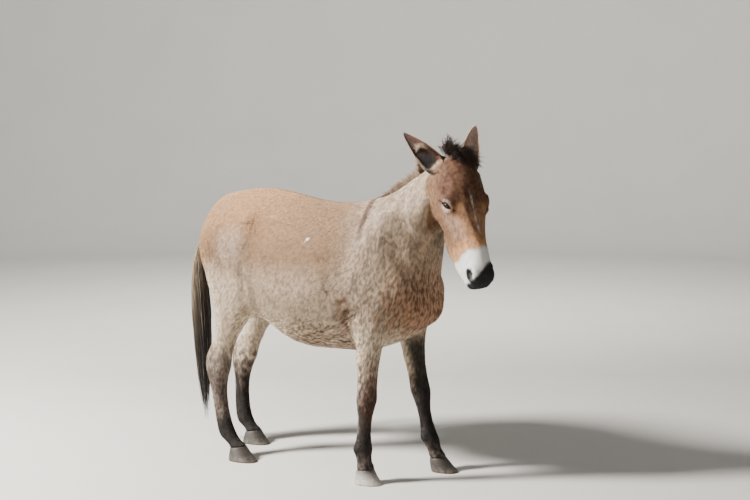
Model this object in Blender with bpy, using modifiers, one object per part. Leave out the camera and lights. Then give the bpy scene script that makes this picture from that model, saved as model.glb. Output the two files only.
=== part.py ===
"""A standing mule at life size, as a still display model.

+X runs from tail to nose, +Y is the animal's left and +Z is up; the soles stand on Z = 0.
The flesh is lofted, fused and smoothed whole, then parted by thin cuts into named pieces.
"""

import math

import bmesh
import bpy
import numpy as np
from mathutils import Euler, Matrix, Vector

# Driving dimensions, in metres and degrees.
GAP = 0.0003
CORONET = 0.062
POLL = (0.790, 1.450)
FACE_PITCH = 62.5
HEAD_TURN = 29.0
HEAD_ROLL = 1.0
NECK_TURN = 14.0
NECK_ROOT_X = 0.36
EAR_LENGTH = 0.225
EYE_RADIUS = 0.0205
EYE = (0.214, 0.0800, -0.0510)
EAR_BASE = (0.033, 0.066, -0.074)
MANE_START = 0.34
MANE_LOCKS = 27
TAIL_LOCKS = 13
DOCK_ROWS = 10
EAR_AXIS = {"left": (-0.91, 0.41, -0.06), "right": (-0.85, 0.48, -0.21)}
EAR_OPENING = {"left": (0.16, -0.10, 0.98), "right": (0.22, 0.34, 0.91)}
EAR_TWIST = {"left": 0.0, "right": 58.0}
# The outline that parts the head from the neck, in head coordinates (along, out).
HEAD_CUT = ((0.075, -0.262), (0.850, -0.262), (0.850, 0.350), (-0.172, 0.350))

# Sizes of the working meshes and the triangles kept of each.
BODY_VOXEL = 0.006
HEAD_VOXEL = 0.0032
BODY_FACES = 5200
HEAD_FACES = 3700
# Radii over which the flesh is relaxed: over the muscles, over folds, and over the small forms of the face.
MUSCLE_SOFT, FOLD_SOFT, FACE_SOFT, STROKE_SOFT = 0.028, 0.010, 0.0060, 0.0016
# The open eye: half the slit's length, how far each lid stands off it, and the radius of the lids.
SLIT_HALF = 0.0238
LID_UP, LID_DOWN = 0.0090, 0.0062
LID_RADIUS = 0.0244
# How far the ear's middle line curves forwards, and the share of its length over which its root is filled.
EAR_CURVE, EAR_FILL = 0.012, 0.16
# Height of the tail's highest lock and how far below it the lowest one leaves the dock.
TAIL_TOP, TAIL_DROP = 1.035, 0.26
# Behind the cheek the head is relaxed like the neck: where that starts (along, out), its slope and reach.
THROAT, THROAT_SLOPE, THROAT_REACH = (0.06, -0.26), 0.36, 0.10
# The plane that parts the trunk from the neck: a point of the withers and the way it faces.
NECK_PLANE = ((0.300, 0.0, 1.262), (0.84, 0.0, 0.54))
# How far the coronet's plane leans forwards, and which way the mane stands.
CORONET_TILT = (-0.16, 0.0, 1.0)
MANE_UP = (-0.6, 0.0, 0.8)
# The mane's height at shares of the way from the withers to the poll.
MANE_PROFILE = ((0.0, 0.12, 0.25, 0.50, 0.65, 0.80, 1.0), (0.022, 0.045, 0.056, 0.060, 0.053, 0.040, 0.032))
# Widths and thicknesses along one lock of the mane and one of the forelock, from root to tip.
MANE_LOCK = ((0.024, 0.027, 0.018, 0.0035), (0.009, 0.008, 0.0055, 0.0025))
FORELOCK_LOCK = ((0.026, 0.032, 0.030, 0.022, 0.004), (0.012, 0.013, 0.011, 0.008, 0.0025))

# Each torso ring: x, top, bottom, then half-widths near the top, at the middle and near the bottom.
TORSO = (
    (-0.686, 1.040, 0.910, 0.050, 0.060, 0.050),
    (-0.674, 1.110, 0.860, 0.088, 0.108, 0.085),
    (-0.630, 1.202, 0.800, 0.122, 0.158, 0.130),
    (-0.550, 1.260, 0.730, 0.150, 0.200, 0.160),
    (-0.450, 1.280, 0.685, 0.162, 0.224, 0.180),
    (-0.340, 1.290, 0.660, 0.165, 0.238, 0.188),
    (-0.240, 1.286, 0.618, 0.154, 0.246, 0.200),
    (-0.130, 1.268, 0.566, 0.142, 0.264, 0.216),
    (-0.020, 1.248, 0.546, 0.132, 0.278, 0.222),
    (0.090, 1.235, 0.548, 0.126, 0.280, 0.212),
    (0.200, 1.238, 0.552, 0.108, 0.266, 0.194),
    (0.300, 1.258, 0.558, 0.085, 0.240, 0.174),
    (0.370, 1.272, 0.580, 0.072, 0.214, 0.162),
    (0.450, 1.242, 0.605, 0.078, 0.194, 0.155),
    (0.530, 1.150, 0.650, 0.090, 0.172, 0.138),
    (0.590, 1.050, 0.700, 0.085, 0.138, 0.116),
    (0.628, 0.930, 0.780, 0.050, 0.075, 0.065),
)

# Each neck ring: a point of the crest (x, z), the facing point of the underline, three half-widths.
NECK = (
    (0.240, 1.215, 0.420, 0.740, 0.090, 0.165, 0.140),
    (0.330, 1.254, 0.560, 0.790, 0.075, 0.165, 0.135),
    (0.410, 1.292, 0.628, 0.870, 0.056, 0.142, 0.118),
    (0.490, 1.340, 0.648, 0.955, 0.046, 0.121, 0.100),
    (0.570, 1.386, 0.658, 1.035, 0.041, 0.106, 0.088),
    (0.645, 1.422, 0.664, 1.110, 0.040, 0.094, 0.078),
    (0.710, 1.446, 0.674, 1.180, 0.042, 0.086, 0.070),
    (0.770, 1.452, 0.695, 1.240, 0.042, 0.078, 0.062),
)

# Each head ring: a point of the face line (along, out), the facing point of the jaw, three half-widths.
# "Along" runs from the poll to the lips and "out" stands off the face.
HEAD = (
    (-0.035, -0.060, -0.020, -0.140, 0.035, 0.048, 0.035),
    (0.000, -0.012, 0.015, -0.190, 0.054, 0.070, 0.048),
    (0.045, 0.012, 0.065, -0.222, 0.082, 0.090, 0.052),
    (0.100, 0.022, 0.125, -0.240, 0.104, 0.108, 0.056),
    (0.155, 0.022, 0.185, -0.242, 0.108, 0.112, 0.056),
    (0.210, 0.017, 0.240, -0.234, 0.098, 0.106, 0.056),
    (0.270, 0.010, 0.295, -0.212, 0.080, 0.092, 0.056),
    (0.335, 0.005, 0.352, -0.190, 0.060, 0.074, 0.052),
    (0.395, 0.003, 0.405, -0.172, 0.048, 0.062, 0.044),
    (0.450, 0.000, 0.452, -0.157, 0.046, 0.058, 0.041),
    (0.500, -0.009, 0.495, -0.148, 0.045, 0.058, 0.040),
    (0.540, -0.025, 0.528, -0.136, 0.040, 0.053, 0.037),
    (0.566, -0.048, 0.548, -0.126, 0.028, 0.040, 0.030),
    (0.578, -0.078, 0.560, -0.112, 0.014, 0.022, 0.018),
)
# Each pad of the head, on its left: centre and radii (along, left, out).
HEAD_PADS = (
    ((0.145, 0.058, -0.150), (0.098, 0.034, 0.088)),
    ((0.205, 0.074, -0.043), (0.070, 0.035, 0.040)),
    ((0.330, 0.034, -0.178), (0.095, 0.026, 0.040)),
    ((0.430, 0.027, -0.156), (0.085, 0.026, 0.034)),
    ((0.120, 0.062, -0.020), (0.060, 0.030, 0.030)),
    ((0.520, 0.036, -0.056), (0.046, 0.026, 0.038)),
    ((0.552, 0.014, -0.080), (0.028, 0.036, 0.036)),
    ((0.525, 0.012, -0.138), (0.042, 0.032, 0.024)),
)

# Each leg ring: height, front and back, inner and outer side. They are for the left legs, standing square.
FORE_LEG = (
    (0.860, 0.560, 0.340, 0.060, 0.205),
    (0.760, 0.530, 0.300, 0.070, 0.212),
    (0.680, 0.495, 0.305, 0.080, 0.206),
    (0.600, 0.465, 0.325, 0.090, 0.194),
    (0.520, 0.448, 0.337, 0.099, 0.185),
    (0.450, 0.440, 0.348, 0.105, 0.179),
    (0.405, 0.439, 0.350, 0.102, 0.182),
    (0.370, 0.440, 0.348, 0.100, 0.184),
    (0.335, 0.434, 0.352, 0.105, 0.179),
    (0.290, 0.423, 0.359, 0.112, 0.172),
    (0.220, 0.420, 0.360, 0.113, 0.171),
    (0.175, 0.426, 0.352, 0.109, 0.175),
    (0.150, 0.431, 0.343, 0.105, 0.179),
    (0.120, 0.430, 0.356, 0.110, 0.174),
    (0.095, 0.432, 0.368, 0.110, 0.174),
    (0.070, 0.446, 0.370, 0.103, 0.181),
    (0.040, 0.450, 0.374, 0.103, 0.181),
)
HIND_LEG = (
    (1.000, -0.330, -0.600, 0.040, 0.205),
    (0.900, -0.295, -0.605, 0.045, 0.218),
    (0.820, -0.275, -0.580, 0.050, 0.220),
    (0.740, -0.290, -0.550, 0.055, 0.212),
    (0.680, -0.325, -0.538, 0.064, 0.203),
    (0.630, -0.362, -0.534, 0.074, 0.194),
    (0.580, -0.398, -0.538, 0.084, 0.186),
    (0.530, -0.425, -0.556, 0.093, 0.180),
    (0.490, -0.440, -0.580, 0.097, 0.177),
    (0.455, -0.447, -0.588, 0.097, 0.177),
    (0.420, -0.458, -0.582, 0.096, 0.178),
    (0.385, -0.472, -0.572, 0.098, 0.176),
    (0.335, -0.481, -0.553, 0.104, 0.170),
    (0.250, -0.472, -0.536, 0.110, 0.164),
    (0.180, -0.452, -0.522, 0.109, 0.165),
    (0.140, -0.432, -0.514, 0.104, 0.170),
    (0.110, -0.412, -0.500, 0.103, 0.171),
    (0.085, -0.385, -0.468, 0.106, 0.168),
    (0.062, -0.352, -0.434, 0.100, 0.174),
    (0.035, -0.348, -0.430, 0.100, 0.174),
)
# Each hoof ring: height, toe, heel and half-width, about the middle of the foot's top.
HOOF = (
    (0.000, 0.084, -0.046, 0.051),
    (0.004, 0.085, -0.046, 0.052),
    (0.030, 0.060, -0.045, 0.046),
    (0.054, 0.042, -0.042, 0.041),
    (0.066, 0.034, -0.038, 0.038),
    (0.085, 0.024, -0.030, 0.030),
)
# How much further the toe reaches at the ground than the table says: the hind toes are longer.
TOE_GROWTH = {"fore": 0.0, "hind": 0.022}
# Where each foot stands off its square place: forwards and outwards, then the lean's start and power.
STANCE = {
    "fore_left": (0.135, 0.055, 0.80, 1.5),
    "fore_right": (-0.022, 0.040, 0.80, 1.0),
    "hind_left": (-0.135, -0.030, 0.85, 1.0),
    "hind_right": (0.050, 0.062, 0.85, 1.0),
}
# Heights at which each leg parts into its named pieces, from the top.
FORE_CUTS = (("forearm", 0.440), ("knee", 0.330), ("cannon", 0.178), ("pastern", None))
HIND_CUTS = (("gaskin", 0.535), ("hock", 0.395), ("cannon", 0.158), ("pastern", None))
FORE_TOP, HIND_TOP = 0.560, 0.640
# The block that holds each leg below the trunk: its back and front, and its inner and outer side.
LIMBS = {
    "fore": (FORE_LEG, FORE_CUTS, FORE_TOP, (0.22, 0.75)),
    "hind": (HIND_LEG, HIND_CUTS, HIND_TOP, (-0.80, -0.22)),
}
LIMB_INNER, LIMB_OUTER = 0.030, 0.400

# Each muscle pad of the body, on the left: centre, radii and pitch in degrees about Y.
PADS = (
    ((0.410, 0.118, 1.010), (0.100, 0.072, 0.220), 20),
    ((0.390, 0.138, 0.800), (0.150, 0.078, 0.120), -15),
    ((0.545, 0.105, 0.870), (0.075, 0.070, 0.090), 0),
    ((0.570, 0.060, 0.790), (0.070, 0.070, 0.110), 0),
    ((-0.440, 0.108, 0.990), (0.200, 0.118, 0.200), 0),
    ((-0.285, 0.155, 1.125), (0.080, 0.050, 0.060), 0),
    ((-0.560, 0.090, 0.950), (0.080, 0.082, 0.150), 0),
    ((-0.345, 0.150, 0.770), (0.095, 0.070, 0.120), 20),
)
# Hollows pressed into the flesh on both sides: a path, its reach and its depth.
HOLLOWS = (
    (((0.300, 0.17, 1.160), (0.270, 0.24, 1.000), (0.260, 0.26, 0.820)), 0.090, 0.010),
    (((0.480, 0.12, 1.120), (0.560, 0.13, 0.960), (0.600, 0.10, 0.880)), 0.070, 0.010),
    (((-0.250, 0.22, 0.980), (-0.230, 0.24, 0.860), (-0.215, 0.22, 0.740)), 0.090, 0.016),
    (((-0.420, 0.00, 1.290), (-0.600, 0.00, 1.190), (-0.660, 0.00, 1.080)), 0.045, 0.010),
    (((-0.640, 0.00, 0.980), (-0.640, 0.00, 0.800), (-0.600, 0.00, 0.700)), 0.050, 0.030),
    (((0.640, 0.00, 0.900), (0.640, 0.00, 0.760), (0.560, 0.00, 0.640)), 0.045, 0.016),
    (((0.200, 0.22, 0.640), (0.290, 0.20, 0.640), (0.330, 0.19, 0.600)), 0.035, 0.010),
)

# Small forms of the face, on the left, in head coordinates: a path, its reach and its depth.
FACE_MARKS = (
    (((0.120, 0.090, 0.000), (0.155, 0.096, -0.008)), 0.034, 0.008),
    (((0.180, 0.094, -0.018), (0.230, 0.088, -0.016)), 0.020, -0.005),
    (((0.250, 0.088, -0.084), (0.310, 0.070, -0.082), (0.365, 0.058, -0.078)), 0.016, -0.005),
    (((0.265, 0.080, -0.045), (0.330, 0.064, -0.040), (0.400, 0.054, -0.042)), 0.022, 0.004),
    (((0.240, 0.068, -0.200), (0.300, 0.050, -0.165), (0.350, 0.042, -0.140)), 0.024, 0.005),
    (((0.466, 0.060, -0.098), (0.500, 0.062, -0.103), (0.540, 0.054, -0.108), (0.566, 0.034, -0.112),
      (0.574, 0.000, -0.113)), 0.0085, 0.0055),
    (((0.452, 0.000, -0.145), (0.458, 0.040, -0.140)), 0.022, 0.006),
    (((0.440, 0.060, -0.060), (0.452, 0.062, -0.085)), 0.022, 0.004),
    (((0.548, 0.000, -0.040), (0.578, 0.000, -0.075)), 0.012, 0.003),
    (((0.485, 0.050, -0.028), (0.520, 0.060, -0.040), (0.542, 0.060, -0.062)), 0.012, -0.004),
)
# The nostril's hollows, on the left, in head coordinates: centre, radii and turn.
NOSTRIL = (
    ((0.519, 0.060, -0.044), (0.022, 0.016, 0.0130), 38),
    ((0.531, 0.054, -0.056), (0.014, 0.018, 0.0120), 20),
)
# Each ear ring: share of the length, half-width, depth of the cup, sweep of the shell in degrees, wall.
EAR = (
    (-0.16, 0.026, 0.022, 150, 0.0080),
    (0.00, 0.042, 0.031, 142, 0.0070),
    (0.10, 0.048, 0.033, 130, 0.0060),
    (0.24, 0.0480, 0.031, 120, 0.0052),
    (0.40, 0.0450, 0.026, 116, 0.0045),
    (0.57, 0.0390, 0.020, 109, 0.0042),
    (0.74, 0.0295, 0.014, 104, 0.0038),
    (0.89, 0.0180, 0.009, 100, 0.0032),
    (1.00, 0.0060, 0.005, 96, 0.0022),
)
# Each tail ring: x, height, half-width and half-depth.
TAIL = (
    (-0.637, 1.100, 0.024, 0.030),
    (-0.692, 1.070, 0.026, 0.030),
    (-0.734, 1.010, 0.028, 0.032),
    (-0.764, 0.920, 0.034, 0.040),
    (-0.770, 0.800, 0.040, 0.048),
    (-0.762, 0.650, 0.042, 0.054),
    (-0.757, 0.500, 0.038, 0.050),
    (-0.752, 0.350, 0.028, 0.038),
    (-0.744, 0.220, 0.018, 0.024),
    (-0.737, 0.120, 0.006, 0.008),
)
# Each lock of the forelock: its root (along, left), how far it rises, falls aside and falls ahead.
FORELOCK = (
    (-0.030, -0.014, 0.044, 0.004, -0.016),
    (-0.020, 0.008, 0.048, 0.020, -0.004),
    (-0.008, -0.020, 0.046, 0.012, 0.014),
    (-0.004, 0.004, 0.050, 0.032, 0.018),
    (0.004, 0.022, 0.042, 0.036, 0.024),
    (0.012, -0.008, 0.038, 0.020, 0.042),
    (0.014, 0.012, 0.038, 0.040, 0.046),
)
COAT = (150, 124, 96)
COLOURS = (
    ("hoof", (120, 112, 104)), ("eye", (22, 16, 14)), ("mane", (52, 40, 34)), ("forelock", (46, 34, 28)),
    ("tail", (44, 36, 34)), ("ear", (110, 84, 64)), ("head", (142, 98, 66)), ("pastern", (58, 44, 38)),
    ("cannon", (70, 54, 44)), ("hock", (84, 66, 54)), ("knee", (76, 58, 48)), ("forearm", (120, 96, 76)),
    ("gaskin", (134, 110, 86)),
)


def smooth_rows(rows, steps):
    """The table with `steps` rows to each gap, on a cubic curve through the given ones."""
    rows = np.array(rows, float)
    gaps = np.linalg.norm(np.diff(rows[:, :4], axis=0), axis=1)
    at = np.concatenate([[0.0], np.cumsum(gaps)])
    slope = np.gradient(rows, at, axis=0)
    made = []
    for i in range(len(rows) - 1):
        span = at[i + 1] - at[i]
        for t in np.arange(steps) / steps:
            made.append(
                (2 * t**3 - 3 * t**2 + 1) * rows[i]
                + (t**3 - 2 * t**2 + t) * span * slope[i]
                + (3 * t**2 - 2 * t**3) * rows[i + 1]
                + (t**3 - t**2) * span * slope[i + 1]
            )
    return np.array(made + [rows[-1]])


def around(count, squareness):
    """The two coordinates of `count` points about a circle that may be squared off."""
    turn = np.linspace(0, 2 * math.pi, count, endpoint=False)
    first = np.sign(np.cos(turn)) * np.abs(np.cos(turn)) ** squareness
    second = np.sign(np.sin(turn)) * np.abs(np.sin(turn)) ** squareness
    return first, second


def side_rings(rows, steps=5, sides=28, squareness=0.9):
    """Rings that span from a point of the upper outline to one of the lower, seen from the side."""
    turn = np.linspace(0, 2 * math.pi, sides, endpoint=False)
    down = (1 - np.cos(turn)) / 2
    across = np.sign(np.sin(turn)) * np.abs(np.sin(turn)) ** squareness
    rings = []
    for ax, az, bx, bz, upper, middle, lower in smooth_rows(rows, steps):
        pull = 2 * middle - (upper + lower) / 2
        half = upper * (1 - down) ** 2 + 2 * pull * down * (1 - down) + lower * down**2
        rings.append(np.stack([ax + (bx - ax) * down, half * across, az + (bz - az) * down], axis=1))
    return np.array(rings)


def leg_rings(rows, steps=4, sides=20, squareness=0.9):
    """Level rings down a leg, from its front and back and its two sides."""
    along, across = around(sides, squareness)
    rings = []
    for z, front, back, inner, outer in smooth_rows(rows, steps):
        x = (front + back) / 2 + (front - back) / 2 * along
        y = (inner + outer) / 2 + (outer - inner) / 2 * across
        rings.append(np.stack([x, y, np.full(sides, z)], axis=1))
    return np.array(rings)


def link(name, mesh):
    obj = bpy.data.objects.new(name, mesh)
    bpy.context.scene.collection.objects.link(obj)
    return obj


def loft(name, rings):
    """A closed mesh object through the rings, its ends filled."""
    rings = np.array(rings)
    count, sides = rings.shape[:2]
    faces = [tuple(range(sides))[::-1], tuple(range((count - 1) * sides, count * sides))]
    for i in range(count - 1):
        for j in range(sides):
            k = (j + 1) % sides
            faces.append((i * sides + j, i * sides + k, (i + 1) * sides + k, (i + 1) * sides + j))
    mesh = bpy.data.meshes.new(name)
    mesh.from_pydata(rings.reshape(-1, 3).tolist(), [], faces)
    work = bmesh.new()
    work.from_mesh(mesh)
    bmesh.ops.recalc_face_normals(work, faces=work.faces)
    work.to_mesh(mesh)
    work.free()
    return link(name, mesh)


def placed(obj, matrix):
    """Moves the object's mesh by a matrix and keeps its faces turned out."""
    obj.data.transform(matrix)
    if matrix.determinant() < 0:
        obj.data.flip_normals()
    return obj


def ellipsoid(name, centre, radii, turn=(0, 0, 0), segments=24):
    """A closed ellipsoid, turned by the given degrees about X, Y and Z."""
    bpy.ops.mesh.primitive_uv_sphere_add(segments=segments, ring_count=segments // 2)
    obj = bpy.context.active_object
    obj.name = name
    spin = Euler([math.radians(a) for a in turn]).to_quaternion()
    return placed(obj, Matrix.LocRotScale(Vector(centre), spin, Vector(radii)))


def bend(points):
    """Turns whatever is ahead of the neck's root towards the animal's right, more and more up to the poll."""
    points = np.array(points, float)
    reach = POLL[0] - NECK_ROOT_X
    steps = np.linspace(0, 1, 60)
    yaw = math.radians(NECK_TURN) * steps**2 * (3 - 2 * steps)
    step = reach / 59
    path_x = NECK_ROOT_X + np.concatenate([[0], np.cumsum(np.cos(yaw[:-1]) * step)])
    path_y = -np.concatenate([[0], np.cumsum(np.sin(yaw[:-1]) * step)])
    share = np.clip((points[:, 0] - NECK_ROOT_X) / reach, 0, 1)
    x, y, turn = (np.interp(share, steps, v) for v in (path_x, path_y, yaw))
    beyond = points[:, 0] - (NECK_ROOT_X + share * reach)
    ahead = points[:, 0] > NECK_ROOT_X
    moved = points.copy()
    moved[:, 0] = x + beyond * np.cos(turn) + points[:, 1] * np.sin(turn)
    moved[:, 1] = y - beyond * np.sin(turn) + points[:, 1] * np.cos(turn)
    points[ahead] = moved[ahead]
    return points


def head_matrix():
    """Carries head coordinates (along, left, out) to the animal's frame."""
    poll = bend([(POLL[0], 0, POLL[1])])[0]
    pitch = math.radians(FACE_PITCH)
    along = Vector((math.cos(pitch), 0, -math.sin(pitch)))
    out = Vector((math.sin(pitch), 0, math.cos(pitch)))
    level = Matrix((along, (0, 1, 0), out)).transposed()
    turn = Matrix.Rotation(-math.radians(HEAD_TURN), 3, "Z")
    roll = Matrix.Rotation(math.radians(HEAD_ROLL), 3, "X")
    return Matrix.Translation(poll) @ (turn @ level @ roll).to_4x4()


def lean(points, leg, side):
    """Sets a square-standing left leg's points to their own side and stance."""
    forwards, outwards, start, power = STANCE[leg]
    points = np.array(points, float)
    share = np.clip((start - points[..., 2]) / start, 0, 1) ** power
    points[..., 0] += forwards * share
    points[..., 1] = side * (points[..., 1] + outwards * share)
    return points


def evaluated(obj):
    """The object's mesh with its modifiers applied."""
    graph = bpy.context.evaluated_depsgraph_get()
    return bpy.data.meshes.new_from_object(obj.evaluated_get(graph))


def apply_modifiers(obj):
    mesh = evaluated(obj)
    obj.modifiers.clear()
    obj.data = mesh


def joined(name, pieces):
    """One object holding every piece's mesh; the pieces are removed."""
    work = bmesh.new()
    for piece in pieces:
        work.from_mesh(piece.data)
    mesh = bpy.data.meshes.new(name)
    work.to_mesh(mesh)
    work.free()
    for piece in pieces:
        bpy.data.objects.remove(piece)
    return link(name, mesh)


def fuse(obj, voxel):
    """Makes one closed skin of everything that overlaps."""
    remesh = obj.modifiers.new("Remesh", "REMESH")
    remesh.mode = "VOXEL"
    remesh.voxel_size = voxel
    apply_modifiers(obj)


def get_points(obj):
    co = np.empty(len(obj.data.vertices) * 3)
    obj.data.vertices.foreach_get("co", co)
    return co.reshape(-1, 3)


def set_points(obj, points):
    obj.data.vertices.foreach_set("co", np.ravel(points))
    obj.data.update()


def get_normals(obj):
    normal = np.empty(len(obj.data.vertices) * 3)
    obj.data.vertices.foreach_get("normal", normal)
    return normal.reshape(-1, 3)


def soften(obj, radius, weight):
    """Relaxes the surface over about the given radius, by a weight for each point."""
    co = get_points(obj)
    edges = np.empty(len(obj.data.edges) * 2, int)
    obj.data.edges.foreach_get("vertices", edges)
    a, b = edges[::2], edges[1::2]
    count = len(co)
    degree = np.maximum(np.bincount(a, minlength=count) + np.bincount(b, minlength=count), 1)
    spacing = np.median(np.linalg.norm(co[a] - co[b], axis=1))
    for _ in range(round(4 * (radius / spacing) ** 2)):
        sums = [np.bincount(a, co[b, k], count) + np.bincount(b, co[a, k], count) for k in range(3)]
        total = np.stack(sums, axis=1)
        co = co + 0.5 * weight[:, None] * (total / degree[:, None] - co)
    set_points(obj, co)


def distance_to_path(points, path):
    """The distance of each point to a polyline."""
    best = np.full(len(points), np.inf)
    path = np.array(path, float)
    for start, end in zip(path[:-1], path[1:]):
        run = end - start
        share = np.clip((points - start) @ run / (run @ run), 0, 1)
        best = np.minimum(best, np.linalg.norm(points - start - share[:, None] * run, axis=1))
    return best


def press(obj, path, reach, depth):
    """Sinks the surface along a path; a negative depth raises it."""
    co = get_points(obj)
    fall = np.clip(1 - (distance_to_path(co, path) / reach) ** 2, 0, 1) ** 2
    set_points(obj, co - get_normals(obj) * (depth * fall)[:, None])


def thin_out(obj, faces):
    """Keeps about the given number of triangles."""
    decimate = obj.modifiers.new("Decimate", "DECIMATE")
    triangles = sum(len(p.vertices) - 2 for p in obj.data.polygons)
    decimate.ratio = min(1.0, faces / triangles)
    decimate.use_collapse_triangulate = True
    apply_modifiers(obj)


def trimmed(name, obj, planes):
    """A copy of the object with what lies beyond each plane cut off and the cut closed."""
    work = bmesh.new()
    work.from_mesh(obj.data)
    for point, normal in planes:
        whole = work.verts[:] + work.edges[:] + work.faces[:]
        bmesh.ops.bisect_plane(
            work, geom=whole, plane_co=point, plane_no=normal, clear_outer=True, dist=1e-6
        )
        rim = [e for e in work.edges if e.is_boundary]
        bmesh.ops.holes_fill(work, edges=rim, sides=0)
    bmesh.ops.triangulate(work, faces=[f for f in work.faces if len(f.verts) > 4])
    bmesh.ops.recalc_face_normals(work, faces=work.faces)
    mesh = bpy.data.meshes.new(name)
    work.to_mesh(mesh)
    work.free()
    return link(name, mesh)


def keep_largest(obj):
    """Leaves only the largest closed surface of the object."""
    work = bmesh.new()
    work.from_mesh(obj.data)
    left = set(work.verts)
    shells = []
    while left:
        seed = left.pop()
        shell, queue = {seed}, [seed]
        while queue:
            for edge in queue.pop().link_edges:
                for vert in edge.verts:
                    if vert in left:
                        left.remove(vert)
                        shell.add(vert)
                        queue.append(vert)
        shells.append(shell)
    shells.sort(key=len)
    bmesh.ops.delete(work, geom=[v for shell in shells[:-1] for v in shell], context="VERTS")
    work.to_mesh(obj.data)
    work.free()


def cut(obj, operation, tool, solver="EXACT"):
    """Applies one Boolean with a tool object, or with a collection of them."""
    boolean = obj.modifiers.new("Cut", "BOOLEAN")
    boolean.operation = operation
    boolean.solver = solver
    if isinstance(tool, bpy.types.Collection):
        boolean.operand_type = "COLLECTION"
        boolean.collection = tool
    else:
        boolean.object = tool
    apply_modifiers(obj)


def grown(name, obj, by):
    """A copy of the object with its surface moved out."""
    copy = link(name, obj.data.copy())
    set_points(copy, get_points(copy) + get_normals(copy) * by)
    return copy


def box(name, low, high):
    bpy.ops.mesh.primitive_cube_add(size=1)
    obj = bpy.context.active_object
    obj.name = name
    low, high = Vector(low), Vector(high)
    obj.data.transform(Matrix.LocRotScale((low + high) / 2, None, high - low))
    return obj


def body_flesh():
    """The trunk, neck and legs as one smooth surface, with the head inside it for the join."""
    pieces = []
    torso = [(x, top, x, bottom, a, b, c) for x, top, bottom, a, b, c in TORSO]
    pieces.append(loft("torso_loft", side_rings(torso, sides=72)))
    pieces.append(neck_loft())
    pieces.append(head_loft())
    for side, name in ((1, "left"), (-1, "right")):
        for end, table in (("fore", FORE_LEG), ("hind", HIND_LEG)):
            leg = f"{end}_{name}"
            pieces.append(loft(leg, lean(leg_rings(table), leg, side)))
        for i, (centre, radii, pitch) in enumerate(PADS):
            place = (centre[0], side * centre[1], centre[2])
            pieces.append(ellipsoid(f"pad_{name}_{i}", place, radii, (0, pitch, 0)))
    flesh = joined("flesh", pieces)
    fuse(flesh, BODY_VOXEL)
    co = get_points(flesh)
    weight = np.clip((co[:, 2] - 0.50) / 0.15, 0.02, 1)
    soften(flesh, MUSCLE_SOFT, weight)
    for path, reach, depth in HOLLOWS:
        for side in (1, -1):
            if side > 0 or path[0][1] or path[-1][1]:
                press(flesh, [(x, side * y, z) for x, y, z in path], reach, depth)
    soften(flesh, FOLD_SOFT, weight)
    return flesh


def neck_loft():
    rings = side_rings(NECK)
    return loft("neck_loft", bend(rings.reshape(-1, 3)).reshape(rings.shape))


def head_loft():
    piece = loft("head_loft", side_rings(HEAD, sides=32, squareness=0.75))
    piece.data.transform(head_matrix())
    return piece


def head_flesh():
    """The head with the top of the neck, on a finer mesh."""
    pieces = [neck_loft(), head_loft()]
    place = head_matrix()
    for side in (1, -1):
        for centre, radii in HEAD_PADS:
            pad = ellipsoid("head_pad", (centre[0], side * centre[1], centre[2]), radii)
            pad.data.transform(place)
            pieces.append(pad)
    head = joined("head_flesh", pieces)
    fuse(head, HEAD_VOXEL)
    back = place.inverted()
    local = get_points(head) @ np.array(back.to_3x3().transposed()) + np.array(back.translation)
    slant = THROAT_SLOPE * (local[:, 2] - THROAT[1])
    behind = np.clip((THROAT[0] - local[:, 0] - slant) / THROAT_REACH, 0, 1)
    soften(head, MUSCLE_SOFT, 0.10 + 0.90 * behind)
    for side in (1, -1):
        lid = ellipsoid("lid", (0, 0, 0), (LID_RADIUS,) * 3)
        placed(lid, place @ eye_frame(side))
        head = joined("head_flesh", [head, lid])
    fuse(head, HEAD_VOXEL)
    soften(head, FACE_SOFT, np.ones(len(head.data.vertices)))
    carve_face(head)
    soften(head, STROKE_SOFT, np.ones(len(head.data.vertices)))
    thin_out(head, HEAD_FACES)
    return head


def in_head(points, side=1):
    """Points given in head coordinates, for one side, carried to the animal's frame."""
    place = head_matrix()
    return [place @ Vector((u, side * w, v)) for u, w, v in points]


def eye_frame(side):
    """The eye's place in head coordinates: X along the slit towards the nose, Y up the lid, Z outwards."""
    outwards = Vector((0.28, side * 0.74, 0.61)).normalized()
    slit = Vector((0.72, side * -0.55, 0.34))
    slit = (slit - outwards * slit.dot(outwards)).normalized()
    up = slit.cross(outwards) * side
    turn = Matrix((slit, up, outwards)).transposed().to_4x4()
    return Matrix.Translation(Vector((EYE[0], side * EYE[1], EYE[2]))) @ turn


def lid_line(upper, lower, half, count=17):
    """An almond outline in the eye's plane: (along the slit, up)."""
    steps = np.linspace(-1, 1, count)
    top = [(half * t, upper * (1 - t * t)) for t in steps]
    bottom = [(half * t, -lower * (1 - t * t)) for t in steps[::-1][1:-1]]
    return top + bottom


def on_lid(frame, outline, radius):
    """The outline laid on a ball of the given radius round the eye."""
    depths = [math.sqrt(max(radius**2 - x * x - y * y, 1e-6)) for x, y in outline]
    return [frame @ Vector((x, y, z)) for (x, y), z in zip(outline, depths)]


def carve_face(head):
    """Presses and raises the small forms of the face on both sides."""
    place = head_matrix()
    for side in (1, -1):
        for path, reach, depth in FACE_MARKS:
            press(head, in_head(path, side), reach, depth)
        frame = place @ eye_frame(side)
        rim = lid_line(LID_UP, LID_DOWN + 0.0003, SLIT_HALF + 0.0007)
        arc = on_lid(frame, rim, LID_RADIUS + 0.0006)
        press(head, arc + arc[:1], 0.0065, -0.0022)
        for up, depth in ((0.0170, 0.0026), (-0.0150, 0.0018)):
            crease = [(t * 0.026, up * (1 - 0.55 * t * t)) for t in np.linspace(-1, 1, 9)]
            press(head, on_lid(frame, crease, LID_RADIUS + 0.0018), 0.0060, depth)


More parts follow.
